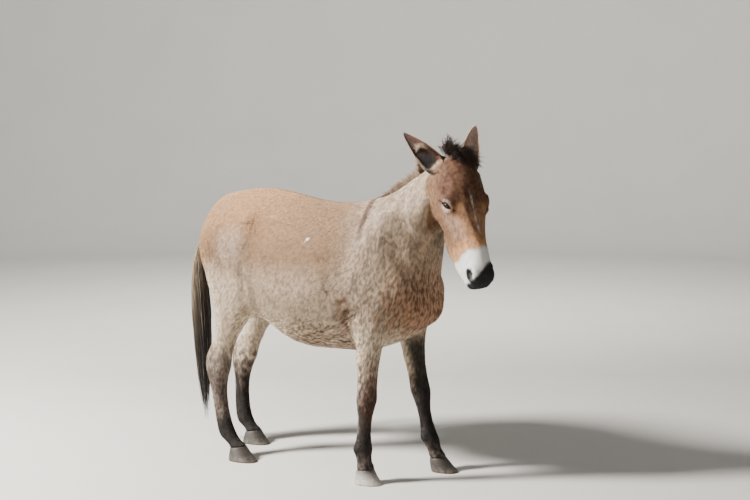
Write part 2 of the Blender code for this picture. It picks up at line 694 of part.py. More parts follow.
def open_eye(head, side):
    """Opens the lids over the ball, which is returned as its own piece."""
    frame = head_matrix() @ eye_frame(side)
    name = "eye_left" if side > 0 else "eye_right"
    ball = ellipsoid(name, (0, 0, 0), (EYE_RADIUS,) * 3, segments=16)
    placed(ball, frame)
    socket = ellipsoid("socket", (0, 0, 0), (EYE_RADIUS + 3 * GAP,) * 3, segments=16)
    placed(socket, frame)
    rings = []
    opening = lid_line(LID_UP, LID_DOWN, SLIT_HALF, 13)
    for depth, scale in ((0.004, 0.90), (0.040, 1.35)):
        rings.append([(x * scale, y * scale, depth) for x, y in opening])
    slot = loft("slot", rings)
    placed(slot, frame)
    for tool in (socket, slot):
        cut(head, "DIFFERENCE", tool)
        bpy.data.objects.remove(tool)
    return ball


def open_nostril(head, side):
    for centre, radii, turn in NOSTRIL:
        centre = (centre[0], side * centre[1], centre[2])
        tool = ellipsoid("nostril", centre, radii, (0, turn, 0), 16)
        tool.data.transform(head_matrix())
        cut(head, "DIFFERENCE", tool)
        bpy.data.objects.remove(tool)


def ear(side):
    """One cupped ear: crescent sections along its axis."""
    place = head_matrix()
    name = "left" if side > 0 else "right"
    axis = Vector(EAR_AXIS[name])
    opening = Vector(EAR_OPENING[name])
    axis.y *= side
    opening.y *= side
    axis.normalize()
    opening = (opening - axis * opening.dot(axis)).normalized()
    root_opening = opening
    base = Vector((EAR_BASE[0], side * EAR_BASE[1], EAR_BASE[2]))
    rings = []
    for t, half, deep, sweep, wall in EAR:
        twist = side * math.radians(EAR_TWIST[name]) * max(t, 0.0) ** 0.7
        opening = Matrix.Rotation(twist, 3, axis) @ root_opening
        across = axis.cross(opening) * side
        middle = base + axis * (t * EAR_LENGTH) + root_opening * (EAR_CURVE * t * t)
        angles = np.radians(np.linspace(-sweep, sweep, 9))
        outer = [(half * math.sin(a), -deep * math.cos(a)) for a in angles]
        inner = [((half - wall) * math.sin(a), -(deep - wall) * math.cos(a)) for a in angles[::-1]]
        fill = max(0.0, 1 - t / EAR_FILL)
        lift = -deep * math.cos(math.radians(sweep))
        inner = [(x * (1 - 0.1 * fill), y + (lift - y) * fill * 0.9) for x, y in inner]
        rings.append([place @ (middle + across * x + opening * y) for x, y in outer + inner])
    return loft(f"ear_{name}", rings)


def lock(name, path, widths, thicks, facing):
    """One flat lock of hair: lens-shaped sections along a path, its flat side turned to `facing`."""
    path = np.array(path, float)
    rings = []
    for spot, way, width, thick in zip(path, np.gradient(path, axis=0), widths, thicks):
        way = Vector(way).normalized()
        spot, flat = Vector(spot), Vector(facing)
        flat = (flat - way * flat.dot(way)).normalized()
        aside, outwards = way.cross(flat) * width / 2, flat * thick / 2
        rings.append([spot + aside, spot + outwards, spot - aside, spot - outwards])
    return loft(name, rings)


def with_locks(core, locks):
    """Fuses a core and its locks into one closed piece."""
    tools = bpy.data.collections.new("locks")
    for piece in locks:
        tools.objects.link(piece)
    cut(core, "UNION", tools, "MANIFOLD")
    for piece in locks:
        bpy.data.objects.remove(piece)
    bpy.data.collections.remove(tools)
    keep_largest(core)
    return core


def crest_line():
    """Points along the crest from the withers to the poll, before the neck is bent."""
    crest = smooth_rows(NECK, 8)[:, :2]
    return crest[crest[:, 0] > MANE_START]


def mane():
    """The short upright mane: a low ridge and the locks that stand in it."""
    crest = crest_line()
    up = Vector(MANE_UP)
    rings = []
    for i, (x, z) in enumerate(crest[::5]):
        tall = 0.45 * np.interp(5 * i / len(crest), *MANE_PROFILE)
        ring = ((-0.013, -0.016), (-0.009, 0.6 * tall), (0.0, tall), (0.009, 0.6 * tall), (0.013, -0.016))
        rings.append(bend([tuple(Vector((x, w, z)) + up * h) for w, h in ring]))
    core = loft("mane", rings)
    random = np.random.default_rng(5)
    locks = []
    for i in range(MANE_LOCKS):
        share = (i + 0.5) / MANE_LOCKS
        x, z = crest[int(share * (len(crest) - 1))]
        side = (-1, 1)[i % 2]
        tall = np.interp(share, *MANE_PROFILE) * random.uniform(0.88, 1.10)
        sway, tilt = random.uniform(-0.25, 0.45), random.uniform(0.08, 0.34)
        path = []
        for h in (-0.35, 0.35, 0.75, 1.0):
            rise = max(h, 0.0)
            aside = side * (0.004 + tilt * rise**1.5 * tall)
            ahead = sway * rise**1.6 * tall
            path.append(tuple(Vector((x + 0.8 * ahead, aside, z + 0.6 * ahead)) + up * h * tall))
        locks.append(lock(f"lock_{i}", bend(path), *MANE_LOCK, (0.1 * side, 1, 0)))
    return with_locks(core, locks)


def forelock():
    """The tuft between the ears: locks that rise from the poll and fall towards the far side."""
    place = head_matrix()
    core = ellipsoid("forelock", (-0.004, 0.004, 0.000), (0.036, 0.030, 0.020), segments=12)
    core.data.transform(place)
    locks = []
    for i, (u, w, rise, over, along) in enumerate(FORELOCK):
        path = [
            (u, w, -0.008),
            (u - 0.10 * rise, w + 0.10 * over, 0.4 * rise),
            (u + 0.15 * along, w + 0.40 * over, 0.92 * rise),
            (u + 0.55 * along, w + 0.78 * over, 0.88 * rise),
            (u + along, w + over, 0.55 * rise),
        ]
        path = [tuple(place @ Vector(p)) for p in path]
        facing = place.to_3x3() @ Vector((0.3, 0.5 - i % 2 * 0.7, 1.0))
        locks.append(lock(f"lock_{i}", path, *FORELOCK_LOCK, facing))
    return with_locks(core, locks)


def tail():
    """The tail: its dock, and long locks that leave it one below another."""
    line = smooth_rows(TAIL, 3)
    turn = np.linspace(0, 2 * math.pi, 10, endpoint=False)
    rings = []
    for x, z, half, deep in line[: DOCK_ROWS + 1]:
        slim = 0.72 if z < 1.08 else 0.95
        rings.append([(x + slim * deep * math.cos(a), slim * half * math.sin(a), z) for a in turn])
    core = loft("tail", rings)
    random = np.random.default_rng(11)
    heights = line[::-1, 1]
    locks = []
    for i in range(TAIL_LOCKS):
        share = i / (TAIL_LOCKS - 1)
        top = TAIL_TOP - TAIL_DROP * share
        length = random.uniform(0.38, 0.52) + 0.30 * share
        angle = i * 2.4
        path, widths, thicks = [], [], []
        for k, t in enumerate((0.0, 0.12, 0.34, 0.58, 0.80, 1.0)):
            z = max(top - length * t, 0.10 + 0.03 * (i % 3))
            x, half, deep = (np.interp(z, heights, line[::-1, c]) for c in (0, 2, 3))
            out = (0.25, 0.62, 0.80, 0.74, 0.60, 0.45)[k]
            spin = angle + 0.5 * t + random.uniform(-0.12, 0.12)
            path.append((x + out * deep * math.cos(spin), out * half * math.sin(spin), z))
            widths.append((0.022, 0.034, 0.038, 0.032, 0.020, 0.004)[k])
            thicks.append((0.010, 0.013, 0.013, 0.011, 0.008, 0.003)[k])
        locks.append(lock(f"lock_{i}", path, widths, thicks, (math.cos(angle), math.sin(angle), 0.0)))
    return with_locks(core, locks)


def hoof(leg, side, centre_x, inner, outer):
    """One hoof, flat-soled, cut off along the coronet."""
    middle = (inner + outer) / 2
    rings = []
    for z, toe, heel, half in HOOF:
        along, across = around(20, 0.9)
        toe += TOE_GROWTH[leg[:4]] * max(0.0, 1 - z / CORONET)
        ring = []
        for a, b in zip(along, across):
            reach = toe if a > 0 else -heel
            ring.append((centre_x + reach * a, middle + half * b * (1 - 0.12 * max(0.0, -a)), z))
        rings.append(ring)
    rings = lean(rings, leg, side)
    return loft(f"{leg}_hoof", rings)


def part_legs(flesh):
    """Cuts the legs from the trunk and parts each into its named pieces."""
    pieces = []
    boxes = []
    for side, name in ((1, "left"), (-1, "right")):
        for end, (table, cuts, top, (back, front)) in LIMBS.items():
            leg = f"{end}_{name}"
            near, far = sorted((side * LIMB_INNER, side * LIMB_OUTER))
            low, high = Vector((back, near, -0.05)), Vector((front, far, top))
            tool = box(f"{leg}_box", low, high)
            limb = link(leg, flesh.data.copy())
            cut(limb, "INTERSECT", tool)
            keep_largest(limb)
            bpy.data.objects.remove(tool)
            seam = Vector((GAP,) * 3)
            boxes.append(box(f"{leg}_gap", low - seam, high + seam))
            foot = table[-2]
            centre = (foot[1] + foot[2]) / 2
            forwards, outwards, start, power = STANCE[leg]
            tilt = Vector(CORONET_TILT).normalized()
            coronet = Vector((centre + forwards * ((start - 0.06) / start) ** power, 0, CORONET))
            above = None
            for part, height in cuts:
                planes = []
                if above is not None:
                    planes.append(((0, 0, above - GAP), (0, 0, 1)))
                if height is not None:
                    planes.append(((0, 0, height), (0, 0, -1)))
                else:
                    planes.append((coronet + tilt * GAP, -tilt))
                pieces.append(trimmed(f"{leg}_{part}", limb, planes))
                above = height
            bpy.data.objects.remove(limb)
            whole = hoof(leg, side, centre, foot[3], foot[4])
            pieces.append(trimmed(f"{leg}_hoof_piece", whole, [(coronet, tilt)]))
            bpy.data.objects.remove(whole)
            pieces[-1].name = f"{leg}_hoof"
    for tool in boxes:
        cut(flesh, "DIFFERENCE", tool)
        bpy.data.objects.remove(tool)
    keep_largest(flesh)
    return pieces


def clear_of(obj, others):
    """Cuts an object back to a thin gap from each of the others."""
    for other in others:
        tool = grown("clearance", other, GAP)
        cut(obj, "DIFFERENCE", tool, "MANIFOLD")
        bpy.data.objects.remove(tool)
    keep_largest(obj)


def paint(obj):
    """Gives a piece a material of its own."""
    name = obj.name
    shade = next((c for key, c in COLOURS if key in name), COAT)
    material = bpy.data.materials.new(name)
    material.use_nodes = True
    surface = material.node_tree.nodes["Principled BSDF"]
    surface.inputs["Base Color"].default_value = (*[(c / 255) ** 2.2 for c in shade], 1)
    surface.inputs["Roughness"].default_value = 0.15 if "eye" in name else 0.8
    obj.data.materials.clear()
    obj.data.materials.append(material)


def centre_on_floor(pieces):
    """Puts the origin under the middle of the whole, on the floor."""
    spots = np.concatenate([get_points(p) for p in pieces])
    low, high = spots.min(axis=0), spots.max(axis=0)
    shift = Vector((-(low[0] + high[0]) / 2, -(low[1] + high[1]) / 2, 0.0))
    for piece in pieces:
        piece.data.transform(Matrix.Translation(shift))
    print("moved to the middle by", [round(v, 5) for v in shift], "floor", round(float(low[2]), 6))


def clear_scene():
    for obj in list(bpy.data.objects):
        bpy.data.objects.remove(obj)


def head_cutter(by):
    """The block that takes the head off the neck, grown by a distance."""
    middle = Vector(HEAD_CUT[0]).lerp(Vector(HEAD_CUT[2]), 0.5)
    outline = [Vector(p) + (Vector(p) - middle).normalized() * by * 1.6 for p in HEAD_CUT]
    rings = [[(u, w, v) for u, v in outline] for w in (-0.4, 0.4)]
    return placed(loft("head_cutter", rings), head_matrix())


def main():
    clear_scene()
    flesh = body_flesh()
    thin_out(flesh, BODY_FACES)
    pieces = part_legs(flesh)
    tool = head_cutter(GAP)
    cut(flesh, "DIFFERENCE", tool)
    bpy.data.objects.remove(tool)
    keep_largest(flesh)
    point, normal = Vector(NECK_PLANE[0]), Vector(NECK_PLANE[1]).normalized()
    torso = trimmed("torso", flesh, [(point, normal)])
    neck = trimmed("neck", flesh, [(point + normal * GAP, -normal)])
    bpy.data.objects.remove(flesh)
    keep_largest(neck)

    head = head_flesh()
    head.name = "head"
    tool = head_cutter(0)
    cut(head, "INTERSECT", tool)
    bpy.data.objects.remove(tool)
    keep_largest(head)
    eyes = []
    for side in (1, -1):
        open_nostril(head, side)
        eyes.append(open_eye(head, side))
    keep_largest(head)

    ears = [ear(1), ear(-1)]
    for piece in ears:
        clear_of(piece, [head, neck])
    crest = mane()
    clear_of(crest, [torso, neck, head] + ears)
    lock = forelock()
    clear_of(lock, [head, neck, crest] + ears)
    tassel = tail()
    clear_of(tassel, [torso])

    pieces += [torso, neck, head, crest, lock, tassel] + ears + eyes
    for piece in pieces:
        paint(piece)
    centre_on_floor(pieces)


if __name__ == "__main__":
    main()
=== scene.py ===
# %% [markdown]
# # A standing mule at life size
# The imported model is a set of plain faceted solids: trunk, neck, head, ears, legs, hooves and the locks of
# mane and tail. This lesson dresses them as the living animal looks: one smooth skin over all the flesh, a
# coat of short tufts that lies along it, long hair where the animal has it, eyes, horn hooves, and a plain
# studio. Nothing is moved: each new piece is made in the place of the solids that it stands for.

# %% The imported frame
import math

import bmesh
import bpy
import numpy as np
from mathutils import Matrix, Vector
from mathutils.bvhtree import BVHTree


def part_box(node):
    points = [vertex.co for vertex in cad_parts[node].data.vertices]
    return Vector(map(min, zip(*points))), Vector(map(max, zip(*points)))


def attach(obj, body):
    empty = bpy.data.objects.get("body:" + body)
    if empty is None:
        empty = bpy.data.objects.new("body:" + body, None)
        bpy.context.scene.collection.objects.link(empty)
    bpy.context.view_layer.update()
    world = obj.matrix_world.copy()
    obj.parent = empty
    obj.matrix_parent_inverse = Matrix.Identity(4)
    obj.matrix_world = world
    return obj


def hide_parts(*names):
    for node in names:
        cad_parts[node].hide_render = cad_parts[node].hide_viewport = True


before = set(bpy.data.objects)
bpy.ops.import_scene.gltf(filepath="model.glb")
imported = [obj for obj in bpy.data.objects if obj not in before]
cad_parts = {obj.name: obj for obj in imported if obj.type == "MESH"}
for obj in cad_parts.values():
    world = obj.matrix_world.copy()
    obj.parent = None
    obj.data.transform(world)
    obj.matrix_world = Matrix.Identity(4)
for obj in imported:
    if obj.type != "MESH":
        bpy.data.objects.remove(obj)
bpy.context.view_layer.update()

# %% [markdown]
# ## Two frames of reference
# Markings and folds are easiest to place in the animal's own terms. On the trunk that is forwards, left and
# up from a point between the feet. On the head it is a slanted frame: along the face from the poll to the
# lips, left, and out of the forehead. The two eyeballs fix that frame, because their place in it is known.

# %% The head frame and the trunk frame
FACE_PITCH, HEAD_TURN, HEAD_ROLL = 62.5, 29.0, 1.0
EYE = (0.214, 0.080, -0.051)
EYE_RADIUS = 0.0205
POLL_FROM_FEET = Vector((0.7854, -0.0513, 1.450))


def box_middle(node):
    low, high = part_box(node)
    return (low + high) / 2


def head_frame():
    """Carries (along, left, out) to the row frame."""
    pitch = math.radians(FACE_PITCH)
    along = (math.cos(pitch), 0, -math.sin(pitch))
    out = (math.sin(pitch), 0, math.cos(pitch))
    level = Matrix((along, (0, 1, 0), out)).transposed()
    turn = Matrix.Rotation(-math.radians(HEAD_TURN), 3, "Z") @ level
    turn = turn @ Matrix.Rotation(math.radians(HEAD_ROLL), 3, "X")
    between_eyes = (box_middle("eye_left") + box_middle("eye_right")) / 2
    poll = between_eyes - turn @ Vector((EYE[0], 0, EYE[2]))
    return Matrix.Translation(poll) @ turn.to_4x4()


HEAD = head_frame()
HEAD_TURN_MATRIX = np.array(HEAD.to_3x3())
FEET = HEAD.translation - POLL_FROM_FEET


def to_head(points):
    """Row-frame points as (along, left, out)."""
    return (points - np.array(HEAD.translation)) @ HEAD_TURN_MATRIX


def to_trunk(points):
    """Row-frame points as forwards, left and up from between the feet."""
    return points - np.array(FEET)


def on_side(place, side):
    """A place or direction that is given for the left, on the given side."""
    return Vector((place[0], side * place[1], place[2]))


def in_head(points, side=1):
    return [HEAD @ Vector((u, side * w, v)) for u, w, v in points]


def in_trunk(points, side=1):
    return [FEET + Vector((x, side * y, z)) for x, y, z in points]


print("poll", [round(v, 3) for v in HEAD.translation], "feet", [round(v, 4) for v in FEET])

# %% [markdown]
# ## Small tools for meshes
# Skin is shaped here the way a sculptor would: clay is added, smoothed over a given radius, and pressed or
# raised along strokes. Working on arrays of points keeps each of these steps to a few lines, even with a
# hundred thousand points.


def link(name, mesh):
    obj = bpy.data.objects.new(name, mesh)
    bpy.context.scene.collection.objects.link(obj)
    return obj


def baked(obj):
    """Replaces the object's mesh by the result of its modifiers."""
    graph = bpy.context.evaluated_depsgraph_get()
    mesh = bpy.data.meshes.new_from_object(obj.evaluated_get(graph))
    obj.modifiers.clear()
    obj.data = mesh
    return obj


def merged_copy(name, nodes, extra=()):
    """The named solids as one mesh, their loose triangles merged."""
    work = bmesh.new()
    for node in nodes:
        work.from_mesh(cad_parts[node].data)
    bmesh.ops.remove_doubles(work, verts=work.verts, dist=0.00002)
    for piece in extra:
        work.from_mesh(piece.data)
        bpy.data.objects.remove(piece)
    mesh = bpy.data.meshes.new(name)
    work.to_mesh(mesh)
    work.free()
    return link(name, mesh)


def fuse(obj, voxel):
    """One closed surface round everything that overlaps."""
    remesh = obj.modifiers.new("Remesh", "REMESH")
    remesh.mode = "VOXEL"
    remesh.voxel_size = voxel
    return baked(obj)


def triangles_of(obj):
    return sum(len(p.vertices) - 2 for p in obj.data.polygons)


def thin_out(obj, triangles):
    decimate = obj.modifiers.new("Decimate", "DECIMATE")
    decimate.ratio = min(1.0, triangles / triangles_of(obj))
    return baked(obj)


def cut(obj, operation, tool):
    boolean = obj.modifiers.new("Cut", "BOOLEAN")
    boolean.operation = operation
    boolean.solver = "MANIFOLD"
    boolean.object = tool
    baked(obj)
    bpy.data.objects.remove(tool)
    return obj


def trimmed(obj, point, normal):
    """Cuts away what lies ahead of a plane."""
    turn = Vector(normal).to_track_quat("Z", "Y").to_matrix().to_4x4()
    corners = ((-1, -1), (1, -1), (1, 1), (-1, 1))
    rings = [[(x, y, z) for x, y in corners] for z in (0, 2)]
    block = loft("block", rings)
    block.data.transform(Matrix.Translation(Vector(point)) @ turn)
    return cut(obj, "DIFFERENCE", block)


def read_all(elements, key, width=1, kind=np.float32):
    """One property of every element of a mesh, a row for each."""
    values = np.empty(len(elements) * width, kind)
    elements.foreach_get(key, values)
    return values.reshape(-1, width) if width > 1 else values


def points_of(obj):
    return read_all(obj.data.vertices, "co", 3).astype(float)


def normals_of(obj):
    return read_all(obj.data.vertices, "normal", 3).astype(float)


def place_points(obj, points):
    obj.data.vertices.foreach_set("co", np.ravel(points).astype(np.float32))
    obj.data.update()


def soften(obj, radius, weight=None):
    """Relaxes the surface over about the given radius, more where the weight is higher."""
    co = points_of(obj)
    a, b = read_all(obj.data.edges, "vertices", 2, int).T
    count = len(co)
    degree = np.maximum(np.bincount(a, minlength=count) + np.bincount(b, minlength=count), 1)
    spacing = np.median(np.linalg.norm(co[a] - co[b], axis=1))
    pull = 0.5 if weight is None else 0.5 * weight[:, None]
    for _ in range(max(1, round(4 * (radius / spacing) ** 2))):
        total = np.stack(
            [np.bincount(a, co[b, k], count) + np.bincount(b, co[a, k], count) for k in range(3)], 1
        )
        co = co + pull * (total / degree[:, None] - co)
    place_points(obj, co)


def ramp(values, start, end):
    """0 at start, 1 at end, smooth between."""
    t = np.clip((np.asarray(values, float) - start) / (end - start), 0, 1)
    return t * t * (3 - 2 * t)


def falling(values, start, end):
    """1 at start, 0 at end, smooth between."""
    return 1 - ramp(values, start, end)


def distance_to(points, path):
    """The distance of each point to a polyline."""
    best = np.full(len(points), np.inf)
    path = np.array([tuple(p) for p in path], float)
    for start, end in zip(path[:-1], path[1:]):
        run = end - start
        share = np.clip((points - start) @ run / max(run @ run, 1e-12), 0, 1)
        best = np.minimum(best, np.linalg.norm(points - start - share[:, None] * run, axis=1))
    return best


def press(obj, path, reach, depth):
    """Sinks the surface along a stroke; a negative depth raises it."""
    co = points_of(obj)
    fall = np.clip(1 - (distance_to(co, path) / reach) ** 2, 0, 1) ** 2
    place_points(obj, co - normals_of(obj) * (depth * fall)[:, None])


def ball(name, centre, radius, segments=32):
    bpy.ops.mesh.primitive_uv_sphere_add(segments=segments, ring_count=segments // 2, radius=radius)
    obj = bpy.context.active_object
    obj.name = name
    obj.data.transform(Matrix.Translation(Vector(centre)))
    return obj


def loft(name, rings):
    """A closed mesh through rings of points."""
    rings = np.array([[tuple(p) for p in ring] for ring in rings], float)
    count, sides = rings.shape[:2]
    faces = [tuple(range(sides))[::-1], tuple(range((count - 1) * sides, count * sides))]
    for i in range(count - 1):
        for j in range(sides):
            k = (j + 1) % sides
            faces.append((i * sides + j, i * sides + k, (i + 1) * sides + k, (i + 1) * sides + j))
    mesh = bpy.data.meshes.new(name)
    mesh.from_pydata(rings.reshape(-1, 3).tolist(), [], faces)
    work = bmesh.new()
    work.from_mesh(mesh)
    bmesh.ops.recalc_face_normals(work, faces=work.faces)
    work.to_mesh(mesh)
    work.free()
    return link(name, mesh)


def smooth_faces(obj):
    for polygon in obj.data.polygons:
        polygon.use_smooth = True


print("tools ready")

# %% [markdown]
# ## The trunk's clay
# The solids meet with hair-thin seams, so the trunk, neck and upper legs are first fused on a coarse grid and
# smoothed over two centimetres. That takes the facets away and keeps the muscles. The bony root of the tail
# is added as a tapering rod, because the long hair of the tail hides it only in part. The head is taken in
# too, only so that the neck keeps its full girth there, and is then shrunk out of sight.

# %% Trunk
SIDES = (("left", 1), ("right", -1))
TRUNK_NODES = ["torso", "neck", "head"] + [
    f"{end}_{side}_{part}" for side, _ in SIDES for end, part in (("fore", "forearm"), ("hind", "gaskin"))
]
TRUNK_VOXEL = 0.007
TRUNK_TRIANGLES = 66000
# How deep a lump of clay is sunk where another one covers it.
HIDE_DEPTH = 0.014
# The slanted plane where head and neck meet: where it crosses the face's line, how far out, and its slope.
PLANE_ALONG, PLANE_OUT, PLANE_SLOPE = 0.075, -0.262, 0.404
PLANE_STEEPNESS = 1.078
# The dock's middle line, from the trunk frame, with its radius.
DOCK = (
    (-0.612, 1.105, 0.026),
    (-0.652, 1.092, 0.025),
    (-0.698, 1.062, 0.024),
    (-0.734, 1.010, 0.021),
    (-0.754, 0.940, 0.017),
    (-0.762, 0.850, 0.011),
    (-0.764, 0.780, 0.006),
)


def dock_rod():
    turn = np.linspace(0, 2 * math.pi, 20, endpoint=False)
    rings = []
    for i, (x, z, radius) in enumerate(DOCK):
        before, after = DOCK[max(i - 1, 0)], DOCK[min(i + 1, len(DOCK) - 1)]
        way = Vector((after[0] - before[0], 0, after[1] - before[1])).normalized()
        across = Vector((way.z, 0, -way.x))
        middle = FEET + Vector((x, 0, z))
        rings.append([
            middle + across * radius * math.cos(a) + Vector((0, radius * math.sin(a), 0)) for a in turn])
    return loft("dock_rod", rings)


def behind_head(points):
    """How far each point lies behind the plane where the head meets the neck."""
    u, _, v = to_head(points).T
    return (PLANE_ALONG - u - PLANE_SLOPE * (v - PLANE_OUT)) / PLANE_STEEPNESS


def trunk_clay():
    clay = merged_copy("trunk_clay", TRUNK_NODES, [dock_rod()])
    fuse(clay, TRUNK_VOXEL)
    at = points_of(clay)
    x, _, z = to_trunk(at).T
    dock = ramp(-x, 0.690, 0.712)
    limb = falling(z, 0.62, 0.84) * ramp(-x, 0.24, 0.34) + falling(z, 0.56, 0.70) * ramp(x, 0.18, 0.28)
    # Thin forms would shrink under so wide a blur, so dock and limbs get only a little of it.
    soften(clay, 0.020, 1 - 0.85 * np.clip(dock + limb, 0, 1))
    at = points_of(clay)
    v = to_head(at)[:, 2]
    under = ramp(-behind_head(at), -0.030, 0.040) * ramp(v, -0.300, -0.250)
    place_points(clay, at - normals_of(clay) * (HIDE_DEPTH * under)[:, None])
    return clay


trunk = trunk_clay()
print("trunk", triangles_of(trunk), "triangles")

# %% [markdown]
# ## Muscles and hollows of the trunk
# A mule in plain condition shows the groove behind the shoulder blade, the hollow of the flank, the point of
# the hip and the long muscle lines of the thigh. Each is one stroke, wide and shallow, made on both sides.

# %% Trunk strokes
# Each stroke: a path on the left side in the trunk frame, its reach and its depth.
TRUNK_STROKES = (
    (((0.31, 0.14, 1.17), (0.30, 0.20, 1.02), (0.29, 0.22, 0.86)), 0.060, 0.005),
    (((0.45, 0.10, 1.14), (0.53, 0.13, 1.00), (0.58, 0.11, 0.90)), 0.050, 0.006),
    (((0.38, 0.20, 1.00), (0.42, 0.20, 0.90), (0.36, 0.21, 0.80)), 0.050, -0.004),
    (((0.34, 0.20, 0.74), (0.26, 0.22, 0.70)), 0.045, 0.006),
    (((-0.20, 0.22, 1.06), (-0.24, 0.23, 0.94), (-0.22, 0.22, 0.80)), 0.070, 0.006),
    (((-0.291, 0.228, 1.005), (-0.284, 0.230, 0.908), (-0.302, 0.208, 0.776)), 0.026, 0.006),
    (((-0.318, 0.198, 1.125), (-0.256, 0.196, 1.127), (-0.245, 0.202, 1.103), (-0.247, 0.218, 1.062)),
     0.014, 0.0025),
    (((0.326, 0.224, 0.818), (0.345, 0.212, 0.740), (0.359, 0.203, 0.677)), 0.022, 0.006),
    (((-0.27, 0.17, 1.16), (-0.29, 0.19, 1.13)), 0.050, -0.006),
    (((-0.36, 0.19, 1.05), (-0.46, 0.20, 0.92), (-0.48, 0.19, 0.76)), 0.055, -0.004),
    (((-0.56, 0.13, 1.05), (-0.57, 0.15, 0.90), (-0.55, 0.14, 0.74)), 0.040, 0.005),
    (((0.02, 0.25, 1.06), (0.00, 0.28, 0.90), (0.02, 0.26, 0.74)), 0.020, -0.0015),
    (((-0.05, 0.25, 1.06), (-0.07, 0.28, 0.90), (-0.06, 0.26, 0.74)), 0.020, -0.0015),
    (((0.09, 0.25, 1.05), (0.08, 0.28, 0.90), (0.09, 0.26, 0.74)), 0.020, -0.0015),
)


def shape_trunk():
    for path, reach, depth in TRUNK_STROKES:
        for _, side in SIDES:
            press(trunk, in_trunk(path, side), reach, depth)
    soften(trunk, 0.006)
    thin_out(trunk, TRUNK_TRIANGLES)


shape_trunk()
print("trunk strokes", 2 * len(TRUNK_STROKES), "now", triangles_of(trunk), "triangles")

# %% [markdown]
# ## The lower legs' clay
# Below elbow and stifle the legs are bone and tendon under skin, so they are fused on a finer grid and
# smoothed less. The top of each is shrunk a little, so that it dives under the trunk's surface and the union
# of the two leaves no step.

# %% Lower legs
LEG_PARTS = {
    "fore": ("forearm", "knee", "cannon", "pastern"),
    "hind": ("gaskin", "hock", "cannon", "pastern"),
}
JOINT_HEIGHT = {"fore": 0.385, "hind": 0.470}
LEG_VOXEL = 0.0036
LEG_TRIANGLES = 34000
LEG_TOP = 0.612


def leg_nodes():
    return [f"{end}_{side}_{part}" for side, _ in SIDES for end in LEG_PARTS for part in LEG_PARTS[end]]


def leg_middle(end, side, height):
    """The middle of a leg at a height, its depth and its width, from the solids, in the row frame."""
    spots = np.concatenate([points_of(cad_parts[f"{end}_{side}_{part}"]) for part in LEG_PARTS[end]])
    near = spots[np.abs(spots[:, 2] - height) < 0.03]
    low, high = near.min(axis=0), near.max(axis=0)
    middle = Vector(((low[0] + high[0]) / 2, (low[1] + high[1]) / 2, height))
    return middle, high[0] - low[0], high[1] - low[1]


def on_leg(end, side, height, ahead, outwards):
    """A point at shares of the leg's depth and width from its middle."""
    middle, deep, wide = leg_middle(end, side, height)
    return middle + Vector((ahead * deep, outwards * wide, 0))


def leg_clay():
    clay = merged_copy("leg_clay", leg_nodes())
    fuse(clay, LEG_VOXEL)
    at = points_of(clay)
    soften(clay, 0.007)
    height = at[:, 2]
    under = np.where(at[:, 0] < 0, ramp(height, 0.540, 0.600), ramp(height, 0.46, 0.575))
    bone = 0.0022 + 0.0040 * (at[:, 0] < 0) * ramp(height, 0.13, 0.20) * falling(height, 0.42, 0.50)
    moved = bone * (1 - under) - HIDE_DEPTH * under
    place_points(clay, points_of(clay) + normals_of(clay) * moved[:, None])
    return clay


def shape_legs(clay):
    """Tendon grooves, the bones of knee, hock and fetlock, and the hollow of the pastern."""
    for side, _ in SIDES:
        for end, joint in JOINT_HEIGHT.items():
            knobs = ((joint, 0.05, 0.48, 0.020, 0.026, -0.0030), (0.150, -0.10, 0.50, 0.012, 0.020, -0.0025))
            for outer in (1, -1):
                groove = [on_leg(end, side, height, -0.16, outer * 0.5) for height in (0.30, 0.25, 0.20)]
                press(clay, groove, 0.014, 0.0035)
                for height, ahead, outwards, long, reach, depth in knobs:
                    knob = on_leg(end, side, height, ahead, outer * outwards)
                    press(clay, [knob, knob + Vector((0, 0, long))], reach, depth)
            back = on_leg(end, side, 0.100, -0.5, 0)
            press(clay, [back, back + Vector((0, 0, 0.02))], 0.022, 0.003)


legs = leg_clay()
shape_legs(legs)
thin_out(legs, LEG_TRIANGLES)
print("legs", triangles_of(legs), "triangles")

# %% [markdown]
# ## The head's clay
# The head is fused on the finest grid, because lids, nostrils and lips are only millimetres thick. The
# solids' eye sockets are filled with a ball for now: the lids are cut from that ball later, to a clean edge.
# The neck below the head is shrunk under the trunk's surface, as the legs were.

# %% Head clay
HEAD_NODES = ["head", "neck"]
HEAD_VOXEL = 0.0024
HEAD_TRIANGLES = 72000
LID_RADIUS = EYE_RADIUS + 0.0038


def eye_centre(side):
    return HEAD @ on_side(EYE, side)


def head_clay():
    filled = [ball("lid_ball", eye_centre(side), LID_RADIUS) for _, side in SIDES]
    clay = merged_copy("head_clay", HEAD_NODES, filled)
    fuse(clay, HEAD_VOXEL)
    soften(clay, 0.0046)
    at = points_of(clay)
    v = to_head(at)[:, 2]
    under = np.maximum(ramp(behind_head(at), 0.010, 0.100), ramp(-v, 0.255, 0.295))
    place_points(clay, points_of(clay) - normals_of(clay) * (HIDE_DEPTH * under)[:, None])
    return clay


head = head_clay()
print("head", triangles_of(head), "triangles")

# %% [markdown]
# ## Forms of the face
# The long face is not a smooth cone. A ridge of bone runs from under the eye along the cheek, the temple
# sinks above the eye, the jaw has a sharp lower edge, the lips meet in a shallow groove that ends in a
# dimple, and the nostril sits in a soft raised wing. Each is a stroke in the head frame.

